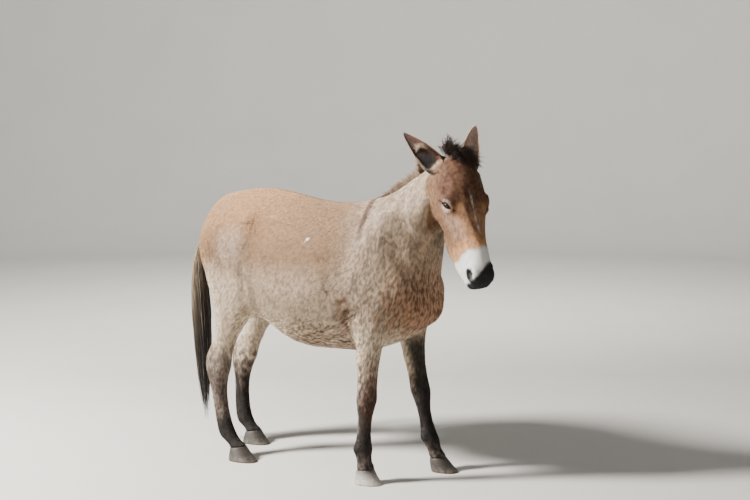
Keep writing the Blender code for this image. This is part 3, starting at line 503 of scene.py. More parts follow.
# %% Face strokes
# Each stroke: a path on the left side of the head (along, left, out), its reach and its depth.
FACE_STROKES = (
    (((0.135, 0.098, -0.010), (0.165, 0.104, -0.014)), 0.026, 0.0050),
    (((0.255, 0.092, -0.100), (0.310, 0.076, -0.096), (0.370, 0.060, -0.090)), 0.014, -0.0035),
    (((0.262, 0.084, -0.052), (0.320, 0.066, -0.046), (0.400, 0.054, -0.046)), 0.022, 0.0040),
    (((0.245, 0.090, -0.140), (0.320, 0.070, -0.130), (0.400, 0.056, -0.108)), 0.022, 0.0030),
    (((0.160, 0.080, -0.215), (0.240, 0.070, -0.222), (0.300, 0.060, -0.200)), 0.022, -0.0030),
    (((0.110, 0.100, -0.120), (0.175, 0.104, -0.130)), 0.050, -0.0040),
    (((0.468, 0.058, -0.104), (0.500, 0.060, -0.106), (0.540, 0.054, -0.110), (0.566, 0.034, -0.113),
      (0.575, 0.000, -0.114)), 0.0075, 0.0055),
    (((0.462, 0.058, -0.104), (0.468, 0.059, -0.107)), 0.010, 0.0035),
    (((0.476, 0.052, -0.092), (0.520, 0.056, -0.096), (0.560, 0.036, -0.100), (0.572, 0.000, -0.100)),
     0.009, -0.0020),
    (((0.490, 0.050, -0.124), (0.530, 0.046, -0.128), (0.556, 0.020, -0.128), (0.562, 0.000, -0.128)),
     0.009, -0.0022),
    (((0.450, 0.000, -0.160), (0.470, 0.030, -0.152)), 0.020, 0.0050),
    (((0.548, 0.000, -0.036), (0.570, 0.000, -0.066), (0.576, 0.000, -0.092)), 0.009, 0.0025),
    (((0.488, 0.056, -0.042), (0.512, 0.062, -0.044), (0.538, 0.060, -0.052), (0.552, 0.052, -0.066)),
     0.010, -0.0035),
    (((0.488, 0.060, -0.078), (0.512, 0.062, -0.084), (0.540, 0.056, -0.082)), 0.009, -0.0022),
    (((0.466, 0.058, -0.050), (0.486, 0.060, -0.062)), 0.014, 0.0030),
    (((0.180, 0.030, 0.020), (0.240, 0.026, 0.014)), 0.030, -0.0015),
)
# The nostril's opening: centre, radii and pitch of each of its two hollows.
NOSTRIL = (
    ((0.517, 0.059, -0.061), (0.024, 0.018, 0.0130), 14),
    ((0.534, 0.055, -0.065), (0.019, 0.018, 0.0120), -6),
)
# The neck inside the trunk is cut off this far behind the plane, and this far below the face's line.
TRIM_BEHIND, TRIM_BELOW = 0.125, -0.300


def shape_face():
    for path, reach, depth in FACE_STROKES:
        for _, side in SIDES:
            press(head, in_head(path, side), reach, depth)
    soften(head, 0.0018)


def trim_neck():
    """Cuts away what the trunk already covers."""
    down_neck = HEAD.to_3x3() @ Vector((-1, 0, -PLANE_SLOPE))
    trimmed(head, HEAD @ Vector((PLANE_ALONG - TRIM_BEHIND * PLANE_STEEPNESS, 0, PLANE_OUT)), down_neck)
    trimmed(head, HEAD @ Vector((0, 0, TRIM_BELOW)), HEAD.to_3x3() @ Vector((0, 0, -1)))


def cut_nostrils():
    for _, side in SIDES:
        for (u, w, v), radii, pitch in NOSTRIL:
            tool = ball("nostril_tool", (0, 0, 0), 1.0, 24)
            spin = Matrix.Rotation(math.radians(pitch), 4, "Y")
            size = Matrix.Diagonal((*radii, 1))
            tool.data.transform(HEAD @ Matrix.Translation((u, side * w, v)) @ spin @ size)
            cut(head, "DIFFERENCE", tool)


shape_face()
thin_out(head, HEAD_TRIANGLES)
trim_neck()
cut_nostrils()
print("face strokes", 2 * len(FACE_STROKES), "head now", triangles_of(head), "triangles")

# %% [markdown]
# ## Ears
# A mule's ear is a long rolled leaf of gristle, thinner than any grid that the head could bear. It is lofted
# instead: a crescent section that widens from a nearly closed root to its broadest third and narrows to the
# tip. The near ear is turned outwards along its length. Each root is sunk into the head and fused there.

# %% Ears
EAR_LENGTH = 0.225
EAR_BASE = (0.033, 0.066, -0.074)
EAR_AXIS = {"left": (-0.91, 0.41, -0.06), "right": (-0.85, 0.48, -0.21)}
EAR_OPENING = {"left": (0.16, -0.10, 0.98), "right": (0.22, 0.34, 0.91)}
EAR_TWIST = {"left": 0.0, "right": 58.0}
# Each section: the share of the length, half-width, depth, half the sweep in degrees, and the wall.
EAR_SECTIONS = (
    (-0.16, 0.026, 0.022, 150, 0.0080),
    (0.00, 0.042, 0.031, 142, 0.0070),
    (0.10, 0.048, 0.033, 130, 0.0060),
    (0.24, 0.0480, 0.031, 120, 0.0052),
    (0.40, 0.0450, 0.026, 116, 0.0045),
    (0.57, 0.0390, 0.020, 109, 0.0042),
    (0.74, 0.0295, 0.014, 104, 0.0038),
    (0.89, 0.0180, 0.009, 100, 0.0032),
    (1.00, 0.0060, 0.005, 96, 0.0022),
)


def ear_directions(name, side):
    """Along the ear and out of its opening at the root, in the head frame."""
    axis = on_side(EAR_AXIS[name], side).normalized()
    opening = on_side(EAR_OPENING[name], side)
    return axis, (opening - axis * opening.dot(axis)).normalized()


def ear_shell(name, side):
    axis, opening = ear_directions(name, side)
    base = on_side(EAR_BASE, side)
    table = np.array(EAR_SECTIONS)
    sweeps = np.linspace(-1, 1, 21)
    rings = []
    for t in np.linspace(table[0, 0], table[-1, 0], 56):
        half, deep, sweep, wall = (np.interp(t, table[:, 0], table[:, k]) for k in range(1, 5))
        spin = Matrix.Rotation(side * math.radians(EAR_TWIST[name]) * max(t, 0.0) ** 0.7, 3, axis)
        front = spin @ opening
        across = axis.cross(front) * side
        middle = base + axis * (t * EAR_LENGTH) + opening * (0.012 * t * t)
        angles = np.radians(sweeps * sweep)
        fill = max(0.0, 1 - t / 0.16)
        lip = -deep * math.cos(angles[-1])
        outer = [(half * math.sin(a), -deep * math.cos(a)) for a in angles]
        inner = [((half - wall) * math.sin(a), -(deep - wall) * math.cos(a)) for a in angles[::-1]]
        inner = [(x * (1 - 0.1 * fill), y + (lip - y) * fill * 0.9) for x, y in inner]
        rings.append([HEAD @ (middle + across * x + front * y) for x, y in outer + inner])
    return loft("ear_shell", rings)


def join_ears():
    for name, side in SIDES:
        shell = ear_shell(name, side)
        soften(shell, 0.004)
        cut(head, "UNION", shell)


join_ears()
print("ears on, head now", triangles_of(head), "triangles")

# %% [markdown]
# ## Lids
# The eye is half shut against the sun: a heavy upper lid with a crease above it, a thin pale lower lid, and
# an almond slit between. The rims are raised a little, and the slit is cut from the filled socket as a prism,
# after a ball just larger than the eyeball, so that the lids lie on the eye as real ones do.

# %% Lids
SLIT_HALF, LID_UP, LID_DOWN = 0.0260, 0.0098, 0.0068
# Each crease: its height above the middle of the slit, half its length, its reach and its depth.
LID_CREASES = (
    (0.0165, 0.0270, 0.0050, 0.0024), (0.0235, 0.0250, 0.0060, 0.0014),
    (-0.0135, 0.0230, 0.0055, 0.0016), (-0.0200, 0.0200, 0.0060, 0.0010),
)


def eye_frame(side):
    """X along the slit towards the nose, Y up the lid, Z out of the eye, in the row frame."""
    outwards = Vector((0.28, side * 0.74, 0.61)).normalized()
    slit = Vector((0.72, side * -0.55, 0.34))
    slit = (slit - outwards * slit.dot(outwards)).normalized()
    up = slit.cross(outwards) * side
    turn = Matrix((slit, up, outwards)).transposed().to_4x4()
    return HEAD @ Matrix.Translation(on_side(EYE, side)) @ turn


def almond(up, down, half):
    """The outline of the open eye: (along the slit, up)."""
    steps = np.linspace(-1, 1, 21)
    top = [(half * t, up * (1 - abs(t) ** 2.2)) for t in steps]
    bottom = [(half * t, -down * (1 - abs(t) ** 2.0)) for t in steps[::-1][1:-1]]
    return top + bottom


def on_lid(place, outline, radius):
    """The outline laid on a ball round the eye."""
    made = []
    for x, y in outline:
        depth = math.sqrt(max(radius * radius - x * x - y * y, 0.0001))
        made.append(place @ Vector((x, y, depth)))
    return made


def cut_lids():
    for _, side in SIDES:
        place = eye_frame(side)
        for up, half, reach, depth in LID_CREASES:
            crease = [(half * t, up * (1 - 0.55 * t * t)) for t in np.linspace(-1, 1, 11)]
            press(head, on_lid(place, crease, LID_RADIUS + 0.001), reach, depth)
        rim = almond(LID_UP + 0.0022, LID_DOWN + 0.0022, SLIT_HALF + 0.002)
        press(head, on_lid(place, rim + rim[:1], LID_RADIUS), 0.0045, -0.0013)
        brow = [(0.020 * t - 0.004, 0.034 - 0.008 * t * t) for t in np.linspace(-1, 1, 7)]
        press(head, [place @ Vector((x, y, 0.020)) for x, y in brow], 0.010, -0.0030)
        cut(head, "DIFFERENCE", ball("socket_tool", eye_centre(side), EYE_RADIUS + 0.0005, 48))
        rings = []
        for depth, scale in ((0.002, 0.92), (0.050, 1.30)):
            outline = almond(LID_UP, LID_DOWN, SLIT_HALF)
            rings.append([place @ Vector((x * scale, y * scale, depth)) for x, y in outline])
        cut(head, "DIFFERENCE", loft("slit_tool", rings))


cut_lids()
print("lids cut, head now", triangles_of(head), "triangles")

# %% [markdown]
# ## One skin
# The three lumps of clay are joined by one Boolean union each, which keeps the fine grid on the head and the
# coarse one on the trunk. The places where they meet are relaxed. Then the skin is drawn in by the depth of
# the coat, so that the tips of the hair, and not the skin, reach the solids' outline.

# %% Skin
COAT_DEPTH = {"trunk": 0.0038, "leg": 0.0024, "face": 0.0012, "ear": 0.0004}
SKIN_TRIANGLES = 184000
# How far from a mark the skin is made finer, and how fine.
MARK_REACH, MARK_FINEST = 0.018, 0.0030
# How far an ear is looked for from a point, and how far the head.
EAR_SEARCH, HEAD_SEARCH = 0.035, 0.060


def ear_share(points):
    """1 on the ears, 0 elsewhere: an ear's point is nearer to it than to the head and the neck."""
    share = np.zeros(len(points))
    graph = bpy.context.evaluated_depsgraph_get()
    body = [BVHTree.FromObject(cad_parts[node], graph) for node in HEAD_NODES]
    for name, _ in SIDES:
        low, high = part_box(f"ear_{name}")
        tree = BVHTree.FromObject(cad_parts[f"ear_{name}"], graph)
        inside = np.all((points > np.array(low) - 0.02) & (points < np.array(high) + 0.02), axis=1)
        for i in np.nonzero(inside)[0]:
            spot = Vector(points[i])
            near = tree.find_nearest(spot, EAR_SEARCH)[3]
            if near is None:
                continue
            gaps = [one.find_nearest(spot, HEAD_SEARCH)[3] for one in body]
            away = min(HEAD_SEARCH if gap is None else gap for gap in gaps)
            share[i] = max(share[i], min(1.0, max(0.0, (away - near) / 0.012)))
    return share


def head_share(points):
    """1 on the head, falling to 0 behind the throat."""
    return ramp(-behind_head(points), -0.045, 0.030) * ramp(to_head(points)[:, 2], -0.330, -0.270)


def make_skin():
    trimmed(legs, (0, 0, LEG_TOP), (0, 0, 1))
    skin = cut(trunk, "UNION", head)
    cut(skin, "UNION", legs)
    skin.name = "skin"
    skin.data.materials.clear()
    smooth_faces(skin)
    for polygon in skin.data.polygons:
        polygon.material_index = 0
    at = points_of(skin)
    v = to_head(at)[:, 2]
    behind = behind_head(at)
    throat = ramp(behind, -0.03, 0.02) * falling(behind, 0.11, 0.15) * ramp(v, -0.48, -0.40)
    elbow = ramp(at[:, 2], 0.42, 0.47) * falling(at[:, 2], 0.60, 0.66)
    soften(skin, 0.007, np.clip(throat + elbow, 0, 1))
    share = ear_share(points_of(skin))
    soften(skin, 0.0035, np.clip(4 * share * (1 - share), 0, 1) ** 2)
    return skin


# Marks of a finger's width and less, in the trunk frame, on the animal's right (near) side where one-sided.
SHOULDER_LINE = ((0.322, 0.020, 1.252), (0.324, 0.044, 1.233), (0.326, 0.083, 1.191), (0.327, 0.115, 1.148),
                 (0.327, 0.137, 1.119), (0.352, 0.180, 1.045))
HIP_ARCH = ((-0.318, 0.198, 1.125), (-0.256, 0.196, 1.127), (-0.245, 0.202, 1.103), (-0.247, 0.218, 1.062),
            (-0.283, 0.226, 1.012))
WHITE_SPOT = ((0.083, -0.198, 1.070), (0.073, -0.208, 1.056))
SCAR = ((0.209, -0.258, 0.884), (0.222, -0.253, 0.857), (0.234, -0.247, 0.831))


def refine(paths, reach, finest):
    """Splits the skin's triangles near the marks, so that their edges can be sharp."""
    work = bmesh.new()
    work.from_mesh(skin.data)
    for _ in range(4):
        work.edges.ensure_lookup_table()
        middles = np.array([(e.verts[0].co + e.verts[1].co) / 2 for e in work.edges])
        lengths = np.array([e.calc_length() for e in work.edges])
        away = np.min([distance_to(middles, path) for path in paths], axis=0)
        edges = [work.edges[i] for i in np.nonzero((away < reach + lengths / 2) & (lengths > finest))[0]]
        bmesh.ops.subdivide_edges(work, edges=edges, cuts=1)
        bmesh.ops.triangulate(work, faces=[f for f in work.faces if len(f.verts) > 3])
    work.to_mesh(skin.data)
    work.free()


skin = make_skin()
if triangles_of(skin) > SKIN_TRIANGLES:
    thin_out(skin, SKIN_TRIANGLES)
refine([in_trunk(SHOULDER_LINE, -1), in_trunk(SHOULDER_LINE), in_trunk(WHITE_SPOT), in_trunk(SCAR),
        in_trunk(HIP_ARCH, -1)], MARK_REACH, MARK_FINEST)
at = points_of(skin)
ear = ear_share(at)
face = head_share(at) * (1 - ear)
leg = falling(at[:, 2], 0.42, 0.56) * (1 - ear)


def by_part(sizes):
    """A size that changes smoothly from trunk to leg, face and ear."""
    size = sizes["trunk"] + (sizes["leg"] - sizes["trunk"]) * leg
    size = size + (sizes["face"] - size) * face
    return size + (sizes["ear"] - size) * ear


place_points(skin, at - normals_of(skin) * by_part(COAT_DEPTH)[:, None])
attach(skin, "root")
FLESH = [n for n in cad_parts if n.split("_")[-1] in (
    "torso", "neck", "head", "forearm", "gaskin", "knee", "hock", "cannon", "pastern")]
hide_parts(*FLESH, "ear_left", "ear_right")
print("skin", triangles_of(skin), "triangles", len(skin.data.vertices), "points")

# %% [markdown]
# ## The markings
# The coat's colours are painted once, as one colour at each point of the skin, and both the skin and every
# tuft read them there. They are built from named regions with soft edges: a dun trunk that is redder over the
# croup and greyer on the neck, a pale mottled belly, dark legs, a russet face with a white muzzle and a dark
# nose, a thin dark line along the spine and the cross over the shoulder that many mules carry. Some regions
# also carry painted light and shade: shade on sides turned from the light and in hollows and creases, and
# paler paint on parts that lie out of the light.

# %% Colours of the coat


def linear(code):
    """An sRGB hex value as linear red, green and blue."""
    parts = [int(code[i : i + 2], 16) / 255 for i in (1, 3, 5)]
    return [c / 12.92 if c <= 0.04045 else ((c + 0.055) / 1.055) ** 2.4 for c in parts]


COAT = {
    "dun": "#8C6E51",
    "croup": "#A9825C",
    "neck": "#A6927D",
    # Pale throat hair, also laid as painted light behind the jaw and on the front of the lower neck.
    "throat": "#CDB69C",
    "chest": "#B58B6C",
    "barrel": "#BAA58E",
    "belly": "#E0CCB1",
    # Dark brown of elbows, chest and belly, also laid as painted shade on the near foreleg's front and under
    # the jaw.
    "elbow": "#6B452F",
    "haunch": "#CDBAAA",
    "pale_thigh_and_light": "#DCC9B0",
    "stripe": "#553C30",
    "leg": "#7C6C61",
    # Dark stocking hair of the lower legs, also laid as painted shade on the far foreleg's front.
    "stocking_and_shade": "#201B18",
    "cannon": "#9A8B7E",
    "pale_line": "#DCCBB2",
    "face": "#A67B59",
    "forehead": "#4E2D1B",
    "cheek_and_shade": "#785A42",
    "patch": "#CB9768",
    "lip_line": "#4A3024",
    "muzzle": "#F5F2EE",
    "nose": "#19181A",
    "nostril": "#121113",
    "lid": "#998680",
    "lid_pale": "#BDAA9D",
    "brow": "#4A342A",
    "lid_rim": "#1E1A1C",
    "blaze": "#D8CCC2",
    "ear_inside": "#3A2317",
    "ear_deep": "#0E0A08",
    "ear_back": "#9A8270",
    "lit_far_ear": "#E6C6B0",
    "ear_edge": "#D8BF9E",
    "ear_upper": "#6A3F26",
    "white_spot": "#FAF6EE",
    "scar": "#3B1E18",
}


def clouds(points, size, seed):
    """Smooth noise between 0 and 1, from a few turned waves."""
    random = np.random.default_rng(seed)
    total = np.zeros(len(points))
    for _ in range(14):
        way = random.normal(size=3)
        way *= random.uniform(0.6, 1.5) * 2 * math.pi / (size * np.linalg.norm(way))
        total += np.sin(points @ way + random.uniform(0, 2 * math.pi))
    return ramp(total / 14**0.5, -1.3, 1.3)


class Paint:
    """Colours that are laid one over another by masks."""

    def __init__(self, count, base):
        self.colour = np.tile(linear(COAT[base]), (count, 1))

    def over(self, name, mask):
        mask = np.clip(mask, 0, 1)[:, None]
        self.colour += (np.array(linear(COAT[name])) - self.colour) * mask


def spot(points, centre, radius, edge=0.5):
    """1 inside a ball, 0 outside, soft over the given share of its radius."""
    away = np.linalg.norm(points - np.array(tuple(centre)), axis=1)
    return falling(away, radius * (1 - edge), radius)


def radii_away(points, centre, radii):
    """How many radii each point lies from the middle of an ellipsoid."""
    return np.linalg.norm((points - centre) / radii, axis=1)


def line(points, path, reach, edge=0.6):
    return falling(distance_to(points, path), reach * (1 - edge), reach)


def paint_trunk(paint, at):
    x, y, z = to_trunk(at).T
    patchy = clouds(at, 0.16, 1)
    mottle = clouds(at, 0.030, 4)
    paint.over("barrel", ramp(-z, -1.00, -0.84) * 0.85)
    paint.over("croup", ramp(-x, -0.10, 0.25) * ramp(z, 0.98, 1.14) * 0.85)
    paint.over("croup", ramp(-x, 0.50, 0.60) * ramp(z, 0.80, 0.95) * 0.85)
    # The thighs are painted pale: partly their greyer hair, partly painted light on surfaces that face down,
    # out of the light.
    paint.over("pale_thigh_and_light", ramp(-x, 0.28, 0.42) * falling(z, 0.80, 0.96) * 0.8)
    neck = ramp(x, 0.18, 0.38)
    paint.over("neck", neck * 0.9)
    streaks = clouds(at * (1, 1, 0.22), 0.060, 14)
    # The pale streaks down the neck are the coat's own; the paler front of the lower neck is painted light
    # that offsets the head's shadow.
    paint.over("throat", neck * ramp(z, 0.74, 0.90) * (streaks * 0.45 + 0.30 * ramp(x, 0.40, 0.55)))
    paint.over("leg", neck * ramp(z, 0.95, 1.10) * (1 - streaks) * 0.25)
    # The tops of the forelegs get the same paint: partly pale hair, partly painted light.
    paint.over("pale_thigh_and_light", ramp(x, 0.18, 0.26) * falling(z, 0.62, 0.78) * 0.9)
    blotch = clouds(at, 0.050, 15)
    front = ramp(x + 0.06 * blotch, 0.46, 0.62)
    paint.over("chest", front * falling(z + 0.14 * mottle, 0.84, 1.14) * 0.9)
    paint.over("elbow", front * falling(z + 0.08 * mottle, 0.94, 1.14) * (0.10 + 0.50 * blotch * mottle))
    paint.over("belly", falling(z, 0.66, 0.80) * falling(np.abs(x), 0.30, 0.44) * (0.6 + 0.4 * patchy))
    paint.over("elbow", falling(z, 0.62, 0.76) * ramp(x, -0.14, 0.06) * falling(x, 0.24, 0.34) * mottle)
    for _, side in SIDES:
        haunch = in_trunk([(-0.365, 0.225, 1.015)], side)[0]
        paint.over("haunch", spot(at, haunch, 0.150, 0.95) * (0.30 + 0.30 * mottle))
        elbow = in_trunk(((0.300, 0.222, 0.800), (0.300, 0.205, 0.740), (0.305, 0.185, 0.690)), side)
        paint.over("elbow", line(at, elbow, 0.055, 0.9) * (0.25 + 0.75 * mottle))
        crease = in_trunk(((0.330, 0.224, 0.818), (0.348, 0.212, 0.740), (0.362, 0.203, 0.677)), side)
        paint.over("pale_line", line(at, crease, 0.016, 0.8) * 0.5)
        flank = in_trunk(((-0.285, 0.230, 0.900), (-0.277, 0.199, 0.770), (-0.262, 0.150, 0.700)), side)
        paint.over("pale_line", line(at, flank, 0.018, 0.8) * 0.45)
        streak = in_trunk(((-0.170, 0.150, 1.160), (-0.110, 0.143, 1.172)), side)
        paint.over("pale_line", line(at, streak, 0.010, 0.8) * 0.4)
        # A dark arch on the hip: partly the dark edge of a hair whorl, partly painted shade in the hollow
        # pressed along it.
        paint.over("stripe", line(at, in_trunk(HIP_ARCH, side), 0.010, 0.7) * (0.40 + 0.40 * mottle))
        cross = line(at, in_trunk(SHOULDER_LINE, side), 0.024, 0.7) * ramp(z, 1.03, 1.15)
        paint.over("stripe", cross * (0.8 + 0.2 * mottle))
    spine = falling(np.abs(y), 0.005, 0.014) * ramp(z, 1.15, 1.20) * falling(x, 0.36, 0.50)
    paint.over("stripe", spine * 0.7)
    paint.over("white_spot", spot(at, in_trunk(WHITE_SPOT)[0], 0.0115, 0.35))
    paint.over("white_spot", line(at, in_trunk(WHITE_SPOT), 0.0060, 0.6) * 0.9)
    paint.over("scar", line(at, in_trunk(SCAR), 0.0070, 0.4) * 0.95)
    paint.over("scar", spot(at, in_trunk([(0.212, -0.255, 0.901)])[0], 0.008, 0.5) * 0.8)


def paint_legs(paint, at):
    x, y, z = to_trunk(at).T
    ragged = z + 0.10 * (clouds(at, 0.035, 5) - 0.5) + 0.05 * (clouds(at, 0.012, 6) - 0.5)
    hind, right = ramp(-x, 0.0, 0.02), (y < 0)
    front = np.zeros(len(at))
    for end, behind in (("fore", 0), ("hind", 1)):
        for _, side in SIDES:
            middle, deep, _ = leg_middle(end, "left" if side > 0 else "right", 0.25)
            mine = (hind > 0.5 if behind else hind < 0.5) & (np.sign(y) == side)
            front = np.where(mine, (at[:, 0] - middle.x) / deep, front)
    top = np.where(hind > 0.5, 0.50, 0.47) - 0.06 * (~right) * hind
    top = top + 0.06 * np.clip(front, -1, 1) * (1 - hind)
    paint.over("leg", falling(ragged - top, -0.05, 0.07))
    dark = np.where((hind > 0.5) & right, 0.30 + 0.65 * falling(z, 0.17, 0.22), 0.95)
    paint.over("stocking_and_shade", falling(ragged - top, -0.16, -0.03) * dark)
    # Painted shade on the forelegs' forward-facing sides, which are turned from the light: the far foreleg's
    # front is painted with the dark stocking colour from the hoof to near the elbow.
    ahead = ramp(normals_of(skin)[:, 0], -0.25, 0.35) * (1 - hind) * (x > 0.2)
    paint.over("stocking_and_shade", ahead * (~right) * falling(z, 0.58, 0.68) * 0.92)
    # Partly its own darker hair, partly painted shade: the near foreleg's front is painted part dark brown.
    paint.over("elbow", ahead * right * falling(z, 0.48, 0.60) * ramp(z, 0.20, 0.34) * 0.40)
    paint.over("leg", falling(z, 0.10, 0.15) * (1 - hind) * 0.75 * clouds(at, 0.025, 13))
    hock_back = hind * right * falling(np.abs(z - 0.265), 0.03, 0.06) * ramp(-front, 0.05, 0.4)
    paint.over("cannon", hock_back * clouds(at, 0.030, 10) * 0.9)
    knee_back = (1 - hind) * right * falling(np.abs(z - 0.265), 0.03, 0.06) * ramp(-front, 0.10, 0.4)
    paint.over("cannon", knee_back * 0.8)


def paint_head(paint, at, on_head):
    u, w, v = to_head(at).T
    side = np.abs(w)
    mirrored = np.stack([u, side, v], 1)
    mottle = clouds(at, 0.022, 9)
    fine = clouds(at, 0.009, 11)
    # A pale band behind the jaw: partly the pale hair of the throat, partly painted light that offsets the
    # shade of the hollow there.
    pale_band_and_light = line(mirrored, ((0.030, 0.098, -0.140), (0.134, 0.106, -0.165), (0.220, 0.112, -0.245),
                           (0.285, 0.086, -0.290)), 0.045, 0.9)
    paint.over("throat", pale_band_and_light * 0.75)
    on_head = on_head * ramp(-behind_head(at), -0.020, 0.040) * ramp(v, -0.262, -0.225)
    on_head = on_head * (1 - ramp(side, 0.092, 0.110) * falling(v, -0.17, -0.12))
    paint.over("face", on_head)
    # The cheeks are darker: partly their reddish-brown hair, partly painted shade on the sides of the head.
    rear = falling(v, -0.12, -0.02) * falling(u, 0.30, 0.42)
    paint.over("cheek_and_shade", on_head * rear * (0.65 + 0.25 * mottle))
    # Painted shadow under the jaw: its lower edge is darkened with the elbow's brown.
    paint.over("elbow", on_head * falling(v, -0.235, -0.205) * ramp(u, 0.20, 0.27) * 0.30)
    brow = on_head * falling(u, 0.19, 0.31) * ramp(v, -0.11, -0.03)
    paint.over("forehead", brow * (0.62 + 0.30 * mottle + 0.08 * fine))
    temple = line(mirrored, ((0.145, 0.086, -0.020), (0.180, 0.060, 0.000)), 0.03, 0.9)
    paint.over("forehead", on_head * temple * 0.5 * mottle)
    paint.over("patch", on_head * spot(mirrored, (0.245, 0.060, -0.002), 0.030, 0.9) * 0.6)
    under_eye = line(mirrored, ((0.270, 0.090, -0.055), (0.340, 0.070, -0.050)), 0.050, 0.95)
    paint.over("lid_pale", on_head * under_eye * (0.20 + 0.15 * fine))
    flat = np.stack([u, w, 0 * v], 1)
    shadow = ((0.235, -0.030, 0), (0.261, -0.028, 0), (0.305, -0.022, 0), (0.345, -0.013, 0))
    dark = line(flat, shadow, 0.011, 0.8)
    paint.over("forehead", on_head * dark * ramp(v, -0.05, 0.0) * 0.75)
    thick = 0.0040 + 0.0035 * clouds(at, 0.03, 7)
    near = distance_to(flat, ((0.165, -0.006, 0), (0.242, -0.001, 0), (0.308, 0.002, 0), (0.366, 0.008, 0)))
    ends = ramp(u, 0.155, 0.20) * falling(u, 0.34, 0.375)
    broken = 0.25 + 0.75 * clouds(at, 0.018, 16)
    paint.over("blaze", on_head * falling(near, 0.3 * thick, thick) * ramp(v, -0.05, 0.0) * ends * broken)
    wave = 0.016 * (clouds(at, 0.05, 8) - 0.5) + 0.008 * (fine - 0.5)
    paint.over("patch", on_head * ramp(u + wave, 0.365, 0.400) * 0.85)
    corner = line(mirrored, ((0.420, 0.060, -0.088), (0.428, 0.058, -0.094), (0.436, 0.056, -0.104)), 0.005)
    paint.over("lip_line", corner * 0.7)
    paint.over("muzzle", ramp(u + wave, 0.414, 0.438) * on_head)
    # The dark nose reaches further up on the far (left) side: partly the dark skin of the nose, partly
    # painted shadow on the far side of the muzzle.
    edge = u + 0.85 * (w + 0.05) + 0.5 * wave
    paint.over("nose", ramp(edge, 0.538, 0.560) * ramp(v, -0.150, -0.128) * on_head)
    paint.over("nose", ramp(u, 0.44, 0.47) * falling(v, -0.170, -0.150) * 0.35 * on_head)
    rim = radii_away(mirrored, (0.527, 0.056, -0.063), (0.036, 0.03, 0.0225))
    paint.over("nose", falling(rim, 0.80, 1.15) * 0.8)
    # Darker along the line where the lips meet: partly their dark skin, partly painted shade in the groove
    # pressed there.
    lips = line(mirrored, ((0.500, 0.060, -0.106), (0.540, 0.054, -0.110), (0.575, 0.000, -0.113)), 0.005)
    paint.over("nose", lips * 0.6)
    hole = radii_away(mirrored, (0.517, 0.053, -0.061), (0.024, 0.018, 0.0145))
    paint.over("nostril", falling(hole, 0.65, 1.05))


def paint_eyes(paint, at):
    for _, side in SIDES:
        spots = (at - np.array(eye_frame(side).translation)) @ np.array(eye_frame(side).to_3x3())
        x, y, z = spots.T
        near = (np.linalg.norm(spots, axis=1) < 0.055) * ramp(z, -0.012, 0.002)
        upper = np.sqrt(((x + 0.004) / 0.032) ** 2 + ((y - 0.013) / 0.016) ** 2)
        lower = np.sqrt((x / 0.032) ** 2 + ((y + 0.013) / 0.016) ** 2)
        paint.over("lid", near * falling(upper, 0.45, 1.10) * 0.80)
        paint.over("lid_pale", near * falling(lower, 0.30, 1.10) * 0.80)
        # Painted shade: a dark line along the crease of the upper lid.
        lid_crease_shade = np.abs(y - 0.0165 + 8 * x * x)
        fold_ends = falling(np.abs(x), 0.016, 0.026)
        paint.over("brow", near * falling(lid_crease_shade, 0.0006, 0.0028) * fold_ends * 0.55)
        slit = np.where(y > 0, y / (LID_UP + 0.001), -y / (LID_DOWN + 0.001)) + (x / SLIT_HALF) ** 2
        paint.over("lid_rim", near * falling(slit, 1.10, 1.36))
        corners = in_head(((0.180, 0.110, -0.067), (0.192, 0.107, -0.054), (0.215, 0.093, -0.036),
                           (0.252, 0.077, -0.016)), side)
        paint.over("lid_rim", line(at, corners, 0.0064, 0.6) * 0.95)
        paint.over("brow", spot(at, in_head([(0.134, 0.104, -0.046)], side)[0], 0.010, 0.8) * 0.6)


def paint_ears(paint, at, ear):
    for name, side in SIDES:
        axis, opening = ear_directions(name, side)
        spots = to_head(at) - np.array(EAR_BASE) * (1, side, 1)
        t = spots @ np.array(axis) / EAR_LENGTH
        mine = ear * (np.linalg.norm(spots, axis=1) < 0.30) * (np.sign(side) * spots[:, 1] > -0.09)
        twist = side * math.radians(EAR_TWIST[name]) * np.maximum(t, 0) ** 0.7
        cross = axis.cross(opening)
        front = np.cos(twist)[:, None] * np.array(opening) + np.sin(twist)[:, None] * np.array(cross)
        facing = np.sum((normals_of(skin) @ HEAD_TURN_MATRIX) * front, axis=1)
        middle = spots - t[:, None] * EAR_LENGTH * np.array(axis)
        above = (middle @ HEAD_TURN_MATRIX.T)[:, 2]
        mottle = clouds(at, 0.015, 12)
        paint.over("ear_back", mine)
        paint.over("stripe", mine * ramp(t, 0.72, 1.0) * 0.5)
        turned_in = ramp(facing, -0.20, 0.10) if name == "right" else ramp(facing, 0.05, 0.35)
        inside = mine * turned_in
        if name == "right":
            paint.over("ear_inside", inside)
            # Darkest deep in the ear's hollow: partly dark skin, partly painted shade in the hollow.
            paint.over("ear_deep", inside * falling(t + 8 * above, 0.20, 0.62))
            paint.over("ear_upper", inside * ramp(above, 0.006, 0.022) * 0.8)
        else:
            # Painted light: the far ear's inside is painted far paler than the near ear's, for the light that
            # falls on it and shines through it.
            paint.over("lit_far_ear", inside)
            # The same dark skin and painted shade deep in the far ear's hollow.
            paint.over("ear_deep", inside * falling(t, 0.06, 0.30) * 0.85)
            paint.over("ear_upper", inside * falling(t, 0.3, 0.7) * mottle * 0.5)
        rim = falling(np.abs(facing), 0.05, 0.28) * mine * ramp(t, 0.10, 0.20)
        edge_from = -0.026 if name == "right" else -0.006
        below = falling(above, edge_from, edge_from + 0.010)
        paint.over("ear_edge", rim * below * (0.95 - 0.5 * ramp(t, 0.75, 1.0)))
        paint.over("ear_upper", rim * ramp(above, -0.002, 0.006) * 0.8)


